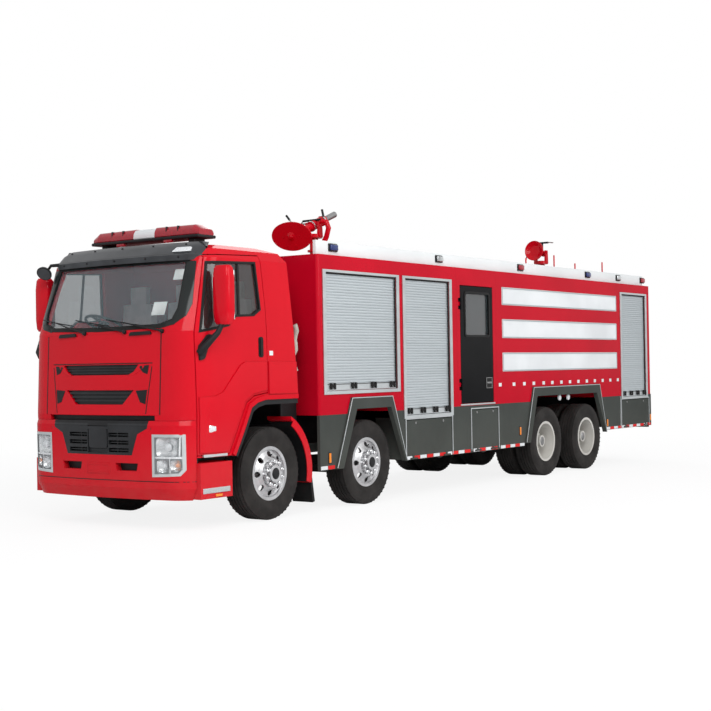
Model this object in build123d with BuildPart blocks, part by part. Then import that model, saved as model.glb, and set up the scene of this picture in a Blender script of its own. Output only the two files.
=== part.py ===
from build123d import *
import os

os.makedirs("parts", exist_ok=True)

# Fire tanker truck, in millimetres.
# +X points forward, +Y to the left, +Z up.
# The origin is on the ground, under the middle of the truck's length.

# Driving dimensions of the whole truck
OVERALL_LENGTH = 11800
FRONT_OVERHANG = 1450
AXLE_STEPS = (1850, 4575, 1370)
BODY_WIDTH = 2500
CAB_WIDTH = 2470
TYRE_RADIUS = 510
TYRE_WIDTH = 298
RIM_RADIUS = 302
STEERED_WHEEL_Y = 1037
TWIN_WHEEL_Y = 925
TWIN_SPACING = 340

# Clearances
DOOR_GAP = 9
HINGE_GAP = 5
RUNNING_GAP = 0.05

# Places worked out from the driving dimensions
FRONT_X = OVERALL_LENGTH / 2
REAR_X = -OVERALL_LENGTH / 2
AXLE_1_X = FRONT_X - FRONT_OVERHANG
AXLE_2_X = AXLE_1_X - AXLE_STEPS[0]
AXLE_3_X = AXLE_2_X - AXLE_STEPS[1]
AXLE_4_X = AXLE_3_X - AXLE_STEPS[2]
STEERED_AXLES = (AXLE_1_X, AXLE_2_X)
TWIN_AXLES = (AXLE_3_X, AXLE_4_X)
HUB_Z = TYRE_RADIUS
SIDE_Y = BODY_WIDTH / 2
CAB_Y = CAB_WIDTH / 2

# Chassis
RAIL_Y = (350, 430)
RAIL_Z = (730, 1000)
SUBFRAME_Z = (1000, 1110)
RAIL_X = (REAR_X + 110, FRONT_X - 330)
KINGPIN_Y = 900
KINGPIN_RADIUS = 25
SPINDLE_RADIUS = 50

# Cab
CAB_REAR_X = AXLE_1_X - 440
CAB_FLOOR_Z = 1335
CAB_ROOF_Z = 2985
CAB_WALL = 60
CAB_DOOR_THICKNESS = 70
CAB_BOTTOM_Z = 755
DOOR_FRONT_X = 5640
DOOR_BOTTOM_Z = 780
DOOR_PIVOT = (DOOR_FRONT_X - 15, CAB_Y - 57)
DOOR_PIN_RADIUS = 6
DOOR_PIN_TOP_Z = DOOR_BOTTOM_Z + 50

# Body
BODY_X = (REAR_X + 60, AXLE_1_X - 800)
BODY_Z = (1110, 2960)
SKIRT_THICKNESS = 40
SKIRT_BOTTOM_Z = 480
PARAPET_TOP_Z = 3130
PARAPET_INSET = 85


def block(x_range, y_range, z_range, mode=Mode.ADD):
    """Box between two limits on each axis, in the part being built."""
    limits = (x_range, y_range, z_range)
    centre = tuple(sum(pair) / 2 for pair in limits)
    size = tuple(max(pair) - min(pair) for pair in limits)
    with Locations(centre):
        Box(*size, mode=mode)


def side_prism(outline, y_range):
    """Prism of an outline given as (x, z) points, across the truck."""
    with BuildPart() as prism:
        with BuildSketch(Plane.XZ.offset(-max(y_range))):
            with BuildLine():
                Polyline(*outline, close=True)
            make_face()
        extrude(amount=max(y_range) - min(y_range))
    return prism.part


def front_prism(outline, x_range):
    """Prism of an outline given as (y, z) points, along the truck."""
    with BuildPart() as prism:
        with BuildSketch(Plane.YZ.offset(min(x_range))):
            with BuildLine():
                Polyline(*outline, close=True)
            make_face()
        extrude(amount=max(x_range) - min(x_range))
    return prism.part


def across_rod(x, z, y_range, radius, mode=Mode.ADD):
    """Round bar along Y."""
    with Locations(Location((x, sum(y_range) / 2, z), (90, 0, 0))):
        Cylinder(radius, max(y_range) - min(y_range), mode=mode)


def upright_rod(x, y, z_range, radius, mode=Mode.ADD):
    """Round bar along Z."""
    with Locations((x, y, sum(z_range) / 2)):
        Cylinder(radius, max(z_range) - min(z_range), mode=mode)


def bowed_shell(sections, rear_x, inset=0):
    """Ruled loft through plan outlines with a bowed front and small front corners."""
    with BuildPart() as shell:
        for z, rear, front, half, bow, corner in sections:
            back = rear + inset if rear_x is None else rear_x
            nose = front - inset
            side = half - inset
            inner = side - corner
            shoulder = nose - bow * (inner / side) ** 2
            with BuildSketch(Plane.XY.offset(z)):
                with BuildLine():
                    Line((back, -side), (shoulder - corner, -side))
                    TangentArc((shoulder - corner, -side), (shoulder, -inner), tangent=(1, 0))
                    ThreePointArc((shoulder, -inner), (nose, 0), (shoulder, inner))
                    TangentArc((shoulder - corner, side), (shoulder, inner), tangent=(1, 0))
                    Line((back, side), (shoulder - corner, side))
                    Line((back, -side), (back, side))
                make_face()
        loft(ruled=True)
    return shell.part


HINGE_OUT = 14
BARREL_RADIUS = 11
HINGE_PIN_RADIUS = 5
LEAF_THICKNESS = 3
# Hinge barrels, each as start and end along the hinge from its middle: the fixed pair, then the moving one
FIXED_BARRELS = ((-75, -28), (28, 75))
MOVING_BARREL = (-26, 26)


def hinge_half(middle, along_x, moving, leaf_to):
    """One half of a hinge that stands on the outside of the left flank.

    middle is the axis's middle as (x, z), and leaf_to is where its leaf ends, across the axis.
    """
    axis_y = SIDE_Y + HINGE_OUT
    across = middle[1] if along_x else middle[0]
    along = middle[0] if along_x else middle[1]
    barrels = (MOVING_BARREL,) if moving else FIXED_BARRELS
    with BuildPart() as half:
        for start, end in barrels:
            centre = along + (start + end) / 2
            place = (centre, axis_y, across) if along_x else (across, axis_y, centre)
            turn = (0, 90, 0) if along_x else (0, 0, 0)
            with Locations(Location(place, turn)):
                Cylinder(BARREL_RADIUS, end - start)
            span = (along + start, along + end)
            leaf = (across, leaf_to)
            foot = (across - 3, across + 3)
            leaf_y = (SIDE_Y, SIDE_Y + LEAF_THICKNESS)
            web_y = (SIDE_Y, axis_y)
            block(span if along_x else leaf, leaf_y, leaf if along_x else span)
            block(span if along_x else foot, web_y, foot if along_x else span)
        pin_radius = HINGE_PIN_RADIUS + (RUNNING_GAP if moving else 0)
        pin_place = (along, axis_y, across) if along_x else (across, axis_y, along)
        with Locations(Location(pin_place, (0, 90, 0) if along_x else (0, 0, 0))):
            Cylinder(pin_radius, FIXED_BARRELS[1][1] - FIXED_BARRELS[0][0], mode=Mode.SUBTRACT if moving else Mode.ADD)
    return half.part


def save(part, name):
    """Label a finished piece and write it."""
    part.label = name
    export_step(part, f"parts/{name}.step")


def mirrored(part):
    """The same piece on the truck's other side."""
    with BuildPart() as other:
        mirror(part, about=Plane.XZ)
    return other.part


# Wheels

# Half outline of a tyre: radius, distance from its middle plane
TYRE_OUTLINE = (
    (286, 112),
    (400, 149),
    (TYRE_RADIUS - 25, 128),
    (TYRE_RADIUS, 105),
)


def tyre_at(centre_y):
    """Tyre as a ring of straight-sided sections around its axle."""
    with BuildPart() as tyre:
        with BuildSketch(Plane.YZ):
            with BuildLine():
                outer = [(centre_y + y, r) for r, y in TYRE_OUTLINE]
                inner = [(centre_y - y, r) for r, y in reversed(TYRE_OUTLINE)]
                Polyline(*outer, *inner, close=True)
            make_face()
        revolve(axis=Axis.Y)
    return tyre.part


# Outline of a steered wheel's rim: distance from the tyre's middle plane, radius
STEERED_RIM = (
    (-122, 262), (-122, RIM_RADIUS), (-117.5, RIM_RADIUS), (-112, 286), (112, 286),
    (117.5, RIM_RADIUS), (122, RIM_RADIUS), (122, 262), (100, 250), (118, 200), (150, 165),
    (150, 105), (205, 95), (205, 0), (0, 0), (0, 110), (60, 110), (60, 140), (130, 140), (130, 160),
    (96, 190), (76, 250), (60, 262),
)
# Outline of a twin wheel's rims, joined back to back: distance from the pair's middle plane, radius
TWIN_HALF = TWIN_SPACING / 2
TWIN_RIM = (
    (TWIN_HALF + 122, RIM_RADIUS), (TWIN_HALF + 122, 262), (60, 250), (20, 235), (20, 120),
    (150, 120), (150, 85), (232, 85), (232, 0), (-60, 0), (-60, 120), (-20, 120), (-20, 235), (-60, 250),
    (-TWIN_HALF - 122, 262), (-TWIN_HALF - 122, RIM_RADIUS), (-TWIN_HALF - 117.5, RIM_RADIUS),
    (-TWIN_HALF - 112, 286), (-TWIN_HALF + 112, 286), (-TWIN_HALF + 117.5, RIM_RADIUS),
    (TWIN_HALF - 117.5, RIM_RADIUS), (TWIN_HALF - 112, 286), (TWIN_HALF + 112, 286), (TWIN_HALF + 117.5, RIM_RADIUS),
)
HAND_HOLES = 8
HAND_HOLE_RADIUS = 32
HAND_HOLE_CIRCLE = 200
STUDS = 10
STUD_CIRCLE = 167.5


def rim_at(centre_y, outline, face_y, stud_y, bore_y):
    """Rim with hand holes, wheel nuts and a bore for its spindle or axle end."""
    with BuildPart() as rim:
        with BuildSketch(Plane.YZ):
            with BuildLine():
                Polyline(*[(centre_y + y, r) for y, r in outline], close=True)
            make_face()
        revolve(axis=Axis.Y)
        with BuildSketch(Plane.XZ.offset(-(centre_y + face_y[1]))):
            with PolarLocations(HAND_HOLE_CIRCLE + 12, HAND_HOLES):
                Circle(HAND_HOLE_RADIUS)
        extrude(amount=face_y[1] - face_y[0], mode=Mode.SUBTRACT)
        with BuildSketch(Plane.XZ.offset(-(centre_y + stud_y[1]))):
            with PolarLocations(STUD_CIRCLE - 35, STUDS):
                RegularPolygon(19, 6)
        extrude(amount=stud_y[1] - stud_y[0])
        across_rod(0, 0, (centre_y + bore_y[0], centre_y + bore_y[1]), SPINDLE_RADIUS + RUNNING_GAP, Mode.SUBTRACT)
    return rim.part


steered_tyre = tyre_at(STEERED_WHEEL_Y)
steered_rim = rim_at(STEERED_WHEEL_Y, STEERED_RIM, (40, 140), (140, 178), (-10, 160))
with BuildPart() as twin_tyres:
    add(tyre_at(TWIN_WHEEL_Y + TWIN_HALF))
    add(tyre_at(TWIN_WHEEL_Y - TWIN_HALF))
twin_rim = rim_at(TWIN_WHEEL_Y, TWIN_RIM, (-30, 80), (0, 55), (-70, 200))

# Axle number, place along the truck, tyre piece, rim piece
WHEELS = (
    (1, AXLE_1_X, steered_tyre, steered_rim),
    (2, AXLE_2_X, steered_tyre, steered_rim),
    (3, AXLE_3_X, twin_tyres.part, twin_rim),
    (4, AXLE_4_X, twin_tyres.part, twin_rim),
)
for number, axle_x, tyre_piece, rim_piece in WHEELS:
    for kind, piece in (("tyre", tyre_piece), ("rim", rim_piece)):
        with BuildPart() as left_wheel_piece:
            with Locations((axle_x, 0, HUB_Z)):
                add(piece)
        save(left_wheel_piece.part, f"{kind}_{number}_left")
        save(mirrored(left_wheel_piece.part), f"{kind}_{number}_right")

# Steering knuckles, one for each steered wheel
EYE_Z = (HUB_Z - 50, HUB_Z + 50)
EYE_RADIUS = 48
FORK_Z = (HUB_Z - 105, HUB_Z + 105)
for number, axle_x in enumerate(STEERED_AXLES, start=1):
    with BuildPart() as knuckle:
        for z_range in ((FORK_Z[0], EYE_Z[0] - HINGE_GAP), (EYE_Z[1] + HINGE_GAP, FORK_Z[1])):
            upright_rod(axle_x, KINGPIN_Y, z_range, EYE_RADIUS)
            block((axle_x - 45, axle_x + 45), (KINGPIN_Y, KINGPIN_Y + 90), z_range)
        block((axle_x - 60, axle_x + 60), (KINGPIN_Y + 60, KINGPIN_Y + 100), FORK_Z)
        across_rod(axle_x, HUB_Z, (KINGPIN_Y + 90, STEERED_WHEEL_Y + 150), SPINDLE_RADIUS)
        upright_rod(axle_x, KINGPIN_Y, FORK_Z, KINGPIN_RADIUS + RUNNING_GAP, Mode.SUBTRACT)
    save(knuckle.part, f"knuckle_{number}_left")
    save(mirrored(knuckle.part), f"knuckle_{number}_right")

# Steered axle beams with their kingpins
BEAM_DROP = 90
with BuildPart() as axle_beams:
    for axle_x in STEERED_AXLES:
        block((axle_x - 50, axle_x + 50), (-700, 700), (HUB_Z - BEAM_DROP - 50, HUB_Z - BEAM_DROP + 50))
        for side in (1, -1):
            ramp = [(side * 640, EYE_Z[0] - 90), (side * 640, EYE_Z[0] + 10), (side * 820, EYE_Z[1]),
                    (side * KINGPIN_Y, EYE_Z[1]), (side * KINGPIN_Y, EYE_Z[0]), (side * 820, EYE_Z[0])]
            add(front_prism(ramp, (axle_x - 40, axle_x + 40)))
            upright_rod(axle_x, side * KINGPIN_Y, EYE_Z, EYE_RADIUS)
            upright_rod(axle_x, side * KINGPIN_Y, FORK_Z, KINGPIN_RADIUS)

# Driven axle housings, with the ends that the twin wheels turn on
HOUSING_RADIUS = 85
with BuildPart() as housings:
    for axle_x in TWIN_AXLES:
        across_rod(axle_x, HUB_Z, (-600, 600), HOUSING_RADIUS)
        across_rod(axle_x, HUB_Z, (-TWIN_WHEEL_Y - 180, TWIN_WHEEL_Y + 180), SPINDLE_RADIUS)
        with Locations((axle_x, 0, HUB_Z)):
            Sphere(190)
with BuildPart() as axles:
    add(axle_beams.part)
    add(housings.part)
save(axles.part, "axles")

# Leaf springs of the steered axles, and the upturned pair that rests on both driven axles
SPRING_Y = (350, 430)
SPRING_HALF_LENGTH = 760
SPRING_SEAT = 90
LEAF_PACK = 110
TWIN_MIDDLE_X = (AXLE_3_X + AXLE_4_X) / 2
TWIN_SPRING_Z = HUB_Z + HOUSING_RADIUS
with BuildPart() as springs:
    for middle_x in STEERED_AXLES:
        low = HUB_Z - BEAM_DROP + 50
        add(side_prism((
            (middle_x - SPRING_HALF_LENGTH, RAIL_Z[0]), (middle_x - SPRING_HALF_LENGTH, RAIL_Z[0] - 40),
            (middle_x - SPRING_SEAT, low), (middle_x + SPRING_SEAT, low),
            (middle_x + SPRING_HALF_LENGTH, RAIL_Z[0] - 40), (middle_x + SPRING_HALF_LENGTH, RAIL_Z[0]),
            (middle_x + SPRING_SEAT, low + LEAF_PACK), (middle_x - SPRING_SEAT, low + LEAF_PACK),
        ), SPRING_Y))
    add(side_prism((
        (TWIN_MIDDLE_X - SPRING_HALF_LENGTH, TWIN_SPRING_Z), (TWIN_MIDDLE_X - SPRING_SEAT, TWIN_SPRING_Z + 30),
        (TWIN_MIDDLE_X + SPRING_SEAT, TWIN_SPRING_Z + 30), (TWIN_MIDDLE_X + SPRING_HALF_LENGTH, TWIN_SPRING_Z),
        (TWIN_MIDDLE_X + SPRING_HALF_LENGTH, TWIN_SPRING_Z + 35), (TWIN_MIDDLE_X + SPRING_SEAT, RAIL_Z[0]),
        (TWIN_MIDDLE_X - SPRING_SEAT, RAIL_Z[0]), (TWIN_MIDDLE_X - SPRING_HALF_LENGTH, TWIN_SPRING_Z + 35),
    ), SPRING_Y))
    for axle_x in TWIN_AXLES:
        block((axle_x - 60, axle_x + 60), SPRING_Y, (TWIN_SPRING_Z, TWIN_SPRING_Z + 20))
    mirror(about=Plane.XZ)
save(springs.part, "leaf_springs")

# Ladder frame, its cross members, subframe, towing points and rear bumper bar
CROSS_MEMBERS_X = (5500, 3750, 1800, -200, -1300, -2660, -4300, -5700)
TOW_PIN_RADIUS = 25
TOW_REAR = (REAR_X + 30, 900)
TOW_FRONT_X = FRONT_X - 260
CAB_MOUNTS_X = (CAB_REAR_X + 150, 5300)
with BuildPart() as frame:
    for side in (1, -1):
        rail_y = (side * RAIL_Y[0], side * RAIL_Y[1])
        block(RAIL_X, rail_y, RAIL_Z)
        block((RAIL_X[0], BODY_X[1] - 10), rail_y, SUBFRAME_Z)
        for mount_x in CAB_MOUNTS_X:
            block((mount_x - 50, mount_x + 50), rail_y, (RAIL_Z[1], CAB_FLOOR_Z))
    for member_x in CROSS_MEMBERS_X:
        block((member_x - 40, member_x + 40), (-RAIL_Y[0], RAIL_Y[0]), (RAIL_Z[0] + 40, RAIL_Z[1] - 40))
    block((RAIL_X[1] - 20, TOW_FRONT_X), (-300, 300), (560, 660))
    block((RAIL_X[1] - 60, RAIL_X[1]), (-300, 300), (560, RAIL_Z[1]))
    upright_rod(TOW_FRONT_X - 60, 0, (560, 660), TOW_PIN_RADIUS, Mode.SUBTRACT)
    block((REAR_X + 10, RAIL_X[0] + 40), (-120, 120), (600, 700))
    block((RAIL_X[0], RAIL_X[0] + 60), (-RAIL_Y[1], RAIL_Y[1]), (600, RAIL_Z[1]))
    upright_rod(REAR_X + 60, 0, (600, 700), TOW_PIN_RADIUS, Mode.SUBTRACT)
    for side in (1, -1):
        block((REAR_X + 20, RAIL_X[0] + 40), (side * 520, side * 600), (560, 640))
        block((RAIL_X[0], RAIL_X[0] + 60), (side * RAIL_Y[0], side * 600), (560, 740))
        block((REAR_X, REAR_X + 60), (side * 180, side * 1180), (540, 660))
save(frame.part, "chassis_frame")

# Engine as one plain block between the rails
with BuildPart() as engine:
    block((AXLE_1_X - 300, AXLE_1_X + 620), (-RAIL_Y[0], RAIL_Y[0]), (560, 1290))
save(engine.part, "engine_block")

# Fuel tank and air tanks, hung outside the rails between axle 2 and the twin axles
with BuildPart() as tanks:
    block((-1150, -560), (RAIL_Y[1], 780), (600, 1000))
    for tank_z in (720, 940):
        with Locations(Location((-860, -RAIL_Y[1] - 125, tank_z), (0, 90, 0))):
            Cylinder(105, 560)
    block((-1000, -960), (-RAIL_Y[1] - 60, -RAIL_Y[1]), (680, 980))
    block((-760, -720), (-RAIL_Y[1] - 60, -RAIL_Y[1]), (680, 980))
save(tanks.part, "chassis_tanks")

# Cab

# Cab plan outlines: height, rear x, front x, half width, front bow, front corner radius
CAB_SECTIONS = (
    (CAB_BOTTOM_Z, CAB_REAR_X, 5870, CAB_Y, 110, 380),
    (1200, CAB_REAR_X, 5887, CAB_Y, 110, 380),
    (2060, CAB_REAR_X + 66, 5850, CAB_Y - 7, 115, 360),
    (2830, CAB_REAR_X + 120, 5560, CAB_Y - 55, 110, 220),
    (2930, CAB_REAR_X + 200, 5450, CAB_Y - 115, 100, 200),
    (CAB_ROOF_Z, CAB_REAR_X + 420, 5240, CAB_Y - 260, 70, 150),
)


def cab_loft(inset):
    """Cab outside, drawn in by an inset on every side."""
    rows = [list(row) for row in CAB_SECTIONS]
    if inset:
        rows[0][0] -= 100
    rows[-1][0] -= inset
    return bowed_shell(rows, None, inset)


cab_outside = cab_loft(0)
cab_lining = cab_loft(CAB_WALL)
cab_door_lining = cab_loft(CAB_DOOR_THICKNESS)

# Edge of the front wheel arch, as (x, z) points from its front foot
ARCH_1 = ((5160, 700), (5155, 752), (4871, 1256), (4620, CAB_FLOOR_Z), (3900, CAB_FLOOR_Z), (3900, 700))
# Cab door, as (x, z) points from its lower front corner
CAB_DOOR = (
    (DOOR_FRONT_X, DOOR_BOTTOM_Z), (DOOR_FRONT_X, 2050), (5420, 2850),
    (4600, 2880), (4560, 2300), (4560, 1400), (4790, 1372), (4920, 1300), (5210, DOOR_BOTTOM_Z),
)
CAB_WINDOW = ((5590, 2052), (5420, 2775), (4690, 2800), (4645, 2299), (4760, 2235), (5055, 2220), (5180, 2120))
WINDSCREEN_TOP_Z = 2800
WINDSCREEN = (
    (-1000, 2300), (-960, 2170), (-800, 2115), (0, 2095), (800, 2115), (960, 2170), (1000, 2300),
    (960, WINDSCREEN_TOP_Z), (-960, WINDSCREEN_TOP_Z),
)
FRONT_PANEL = ((-840, 1193), (-840, 2045), (840, 2045), (840, 1193))
STAIR_WELL_X = (5230, 5600)
BUMPER_REAR_X = 5400


BUMPER_EDGE = ((5655, 1140), (5655, 200), (6200, 200), (6200, 1140))
bumper_space = side_prism(BUMPER_EDGE, (900, 1400))


def grown(outline, gap):
    """Outline moved outwards by a gap, through an offset sketch."""
    with BuildSketch(Plane.XZ) as sketch:
        with BuildLine():
            Polyline(*outline, close=True)
        make_face()
        offset(amount=gap, kind=Kind.INTERSECTION)
    return sketch.sketch


def sketch_prism(sketch, y_range):
    """Prism across the truck of a sketch drawn on the XZ plane."""
    with BuildPart() as prism:
        with Locations((0, max(y_range), 0)):
            add(extrude(sketch, amount=max(y_range) - min(y_range), dir=(0, -1, 0), mode=Mode.PRIVATE))
    return prism.part


door_opening = sketch_prism(grown(CAB_DOOR, DOOR_GAP), (900, 1400))
with BuildPart() as cab_shell:
    add(cab_outside)
    add(side_prism(ARCH_1, (-1400, 1400)), mode=Mode.SUBTRACT)
    with BuildPart(mode=Mode.PRIVATE) as cab_room:
        add(cab_lining)
        block((3500, 6000), (-1400, 1400), (CAB_FLOOR_Z + CAB_WALL, 3200), Mode.INTERSECT)
    add(cab_room.part, mode=Mode.SUBTRACT)
    block((4500, 6000), (-780, 780), (600, CAB_FLOOR_Z), Mode.SUBTRACT)
    add(bumper_space, mode=Mode.SUBTRACT)
    add(mirrored(bumper_space), mode=Mode.SUBTRACT)
    block((5690, 6000), (-1400, 1400), (600, 1140), Mode.SUBTRACT)
    for side in (1, -1):
        block(STAIR_WELL_X, (side * 860, side * (CAB_Y - CAB_DOOR_THICKNESS)), (820, 1500), Mode.SUBTRACT)
    add(door_opening, mode=Mode.SUBTRACT)
    add(mirrored(door_opening), mode=Mode.SUBTRACT)
    add(front_prism(WINDSCREEN, (5300, 6000)), mode=Mode.SUBTRACT)
    add(front_prism(FRONT_PANEL, (5760 - CAB_WALL, 6000)), mode=Mode.SUBTRACT)
    for side in (1, -1):
        upright_rod(DOOR_PIVOT[0], side * DOOR_PIVOT[1], (CAB_BOTTOM_Z, DOOR_PIN_TOP_Z), DOOR_PIN_RADIUS)
save(cab_shell.part, "cab_shell")

# Cab doors with their windows cut, each turning on a pin that stands on the sill
with BuildPart() as cab_door:
    add(cab_outside)
    add(side_prism(CAB_DOOR, (CAB_Y - 300, 1400)), mode=Mode.INTERSECT)
    add(cab_door_lining, mode=Mode.SUBTRACT)
    add(side_prism(CAB_WINDOW, (CAB_Y - 300, 1400)), mode=Mode.SUBTRACT)
    upright_rod(*DOOR_PIVOT, (CAB_BOTTOM_Z, DOOR_PIN_TOP_Z + 2), DOOR_PIN_RADIUS + RUNNING_GAP, Mode.SUBTRACT)
save(cab_door.part, "cab_door_left")
save(mirrored(cab_door.part), "cab_door_right")

# Red front panel under the windscreen, with its grille openings
# Opening outline as (y, z) points
UPPER_GRILLES = (
    ((-560, 1722), (560, 1722), (520, 1665), (440, 1615), (-440, 1615), (-520, 1665)),
    ((-500, 1455), (500, 1455), (350, 1305), (-350, 1305)),
)
with BuildPart() as front_panel:
    add(cab_outside)
    add(front_prism(FRONT_PANEL, (5760 - CAB_WALL, 6000)), mode=Mode.INTERSECT)
    add(cab_lining, mode=Mode.SUBTRACT)
    for outline in UPPER_GRILLES:
        add(front_prism(outline, (5700, 6000)), mode=Mode.SUBTRACT)
save(front_panel.part, "front_panel")

# Windscreen
with BuildPart() as windscreen:
    add(cab_loft(15))
    add(front_prism(WINDSCREEN, (5300, 6000)), mode=Mode.INTERSECT)
    add(cab_loft(25), mode=Mode.SUBTRACT)
save(windscreen.part, "windscreen")

# Bumper plan outlines, in the same columns as the cab's
BUMPER_SECTIONS = (
    (320, BUMPER_REAR_X, 5830, 1200, 100, 340),
    (440, BUMPER_REAR_X, 5890, CAB_Y, 110, 380),
    (1090, BUMPER_REAR_X, FRONT_X, CAB_Y, 110, 380),
    (1138, BUMPER_REAR_X, 5885, CAB_Y - 5, 110, 380),
)
LOWER_GRILLE = ((-700, 1138), (700, 1138), (690, 1060), (560, 1000), (480, 780), (-480, 780), (-560, 1000), (-690, 1060))
HEADLAMP = ((765, 985), (1100, 985), (1100, 640), (1060, 590), (760, 576))
bumper_outside = bowed_shell(BUMPER_SECTIONS, BUMPER_REAR_X)
BUMPER_SLOTS = (((-560, 697), (-250, 697), (-270, 617), (-540, 617)), ((560, 697), (250, 697), (270, 617), (540, 617)))
headlamp_prism = front_prism(HEADLAMP, (5600, 6000))
with BuildPart() as bumper:
    add(bumper_outside)
    block((5300, 5655), (-1400, 1400), (200, 1200), Mode.SUBTRACT)
    block((5650, 5790), (-820, 820), (380, 1200), Mode.SUBTRACT)
    block((5650, 5700), (-1100, 1100), (380, 1200), Mode.SUBTRACT)
    add(front_prism(LOWER_GRILLE, (5600, 6000)), mode=Mode.SUBTRACT)
    for outline in BUMPER_SLOTS:
        add(front_prism(outline, (5600, 6000)), mode=Mode.SUBTRACT)
    add(headlamp_prism, mode=Mode.SUBTRACT)
    add(mirrored(headlamp_prism), mode=Mode.SUBTRACT)
    for side in (1, -1):
        block((RAIL_X[1], 5800), (side * RAIL_Y[0], side * RAIL_Y[1]), (730, 775))
save(bumper.part, "front_bumper")

# Headlamps, flush with the bumper
with BuildPart() as headlamps:
    with BuildPart(mode=Mode.PRIVATE) as lamp:
        add(bumper_outside)
        add(headlamp_prism, mode=Mode.INTERSECT)
        block((5300, 5700), (700, 1300), (500, 1100), Mode.SUBTRACT)
    add(lamp.part)
    add(mirrored(lamp.part))

# Dark grille pieces: the lower one in the bumper and one behind each opening of the front panel
with BuildPart() as grilles:
    with BuildPart(mode=Mode.PRIVATE) as lower:
        add(bumper_outside)
        add(front_prism(LOWER_GRILLE, (5800, 6000)), mode=Mode.INTERSECT)
        for slot_z in (830, 910, 990):
            for slot_y in (-300, 300):
                block((5820, 6000), (slot_y - 140, slot_y + 140), (slot_z - 22, slot_z + 22), Mode.SUBTRACT)
        block((5870, 6000), (-150, 150), (700, 1200), Mode.SUBTRACT)
    add(lower.part)
    for outline in UPPER_GRILLES:
        with BuildPart(mode=Mode.PRIVATE) as insert:
            add(cab_loft(30))
            add(front_prism(outline, (5700, 6000)), mode=Mode.INTERSECT)
            add(cab_lining, mode=Mode.SUBTRACT)
        add(insert.part)
save(grilles.part, "front_grilles")

# Dark visor over the windscreen
VISOR_SECTIONS = (
    (2800, 5300, 5620, 1080, 120, 150),
    (2850, 5300, 5620, 1080, 120, 150),
    (3005, 5300, 5440, 980, 100, 150),
)
with BuildPart() as visor:
    add(bowed_shell(VISOR_SECTIONS, 5200))
    add(cab_outside, mode=Mode.SUBTRACT)
    block((5000, 5330), (-1300, 1300), (2700, 3100), Mode.SUBTRACT)
save(visor.part, "sun_visor")

# Light bar on two feet
LIGHT_BAR_X = AXLE_1_X + 580
with BuildPart() as light_bar:
    for side in (1, -1):
        block((LIGHT_BAR_X - 90, LIGHT_BAR_X + 90), (side * 620, side * 700), (CAB_ROOF_Z, 3080))
    block((LIGHT_BAR_X - 150, LIGHT_BAR_X + 150), (-820, 820), (3075, 3110))
    block((LIGHT_BAR_X - 135, LIGHT_BAR_X + 135), (-800, 800), (3110, 3225))
save(light_bar.part, "light_bar")

# Side mirrors on their arms, which the doors carry
MIRROR_X = 5400
with BuildPart() as mirror_left:
    block((MIRROR_X - 70, MIRROR_X + 70), (1240, 1460), (2120, 2730))
    add(side_prism(((MIRROR_X - 20, 2120), (MIRROR_X + 40, 2120), (5635, 1860), (5575, 1830)), (1310, 1360)))
    block((5575, 5635), (1100, 1360), (1800, 1860))
    add(cab_outside, mode=Mode.SUBTRACT)
save(mirror_left.part, "mirror_left")
save(mirrored(mirror_left.part), "mirror_right")

# Seats: three places across the cab
SEAT_X = 4700
with BuildPart() as seats:
    for seat_y in (-720, 0, 720):
        block((SEAT_X - 120, SEAT_X + 280), (seat_y - 150, seat_y + 150), (CAB_FLOOR_Z + CAB_WALL, 1720))
        block((SEAT_X - 200, SEAT_X + 330), (seat_y - 250, seat_y + 250), (1720, 1860))
        block((SEAT_X - 280, SEAT_X - 150), (seat_y - 240, seat_y + 240), (1780, 2430))
        block((SEAT_X - 270, SEAT_X - 170), (seat_y - 130, seat_y + 130), (2430, 2640))
save(seats.part, "cab_seats")

# Dashboard with the steering wheel on the truck's right side
WHEEL_CENTRE = (5230, -560, 2180)
with BuildPart() as dashboard:
    block((5400, 5640), (-1000, 1000), (1700, 2060))
    block((5480, 5640), (-850, 850), (CAB_FLOOR_Z + CAB_WALL, 1700))
    with Locations(Location(WHEEL_CENTRE, (0, -25, 0))):
        Torus(220, 16)
        Cylinder(45, 50)
        Box(420, 40, 16)
    add(side_prism(((5225, 2175), (5275, 2205), (5460, 1950), (5440, 1850)), (-600, -520)))
save(dashboard.part, "dashboard")

# Steps under the doors, and the front wheels' rear mudguards
MUDGUARD_RADIUS = 655
with BuildPart() as steps:
    block((5160, 5655), (900, CAB_Y - 5), (330, 700))
    block((5190, 5625), (880, 1200), (360, 670), Mode.SUBTRACT)
    block((5350, 5430), (RAIL_Y[1], 940), (560, 640))
    block((5350, 5430), (RAIL_Y[1], RAIL_Y[1] + 60), (560, RAIL_Z[0] + 100))
    with BuildSketch(Plane.XZ.offset(-(CAB_Y - 20))):
        with Locations((AXLE_1_X, HUB_Z)):
            Circle(MUDGUARD_RADIUS + 35)
            Circle(MUDGUARD_RADIUS, mode=Mode.SUBTRACT)
            Rectangle(2000, 2000, align=(Align.MIN, Align.CENTER), mode=Mode.SUBTRACT)
        with Locations((AXLE_1_X - 1000, 360)):
            Rectangle(2000, 2000, align=(Align.CENTER, Align.MAX), mode=Mode.SUBTRACT)
        with Locations((AXLE_1_X + 1000 - 320, HUB_Z)):
            Rectangle(2000, 2000, mode=Mode.SUBTRACT)
    extrude(amount=CAB_Y - 20 - 870)
    block((3800, 3850), (RAIL_Y[1], 900), (760, 810))
    mirror(about=Plane.XZ)
save(steps.part, "cab_steps")

# Body

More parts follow.
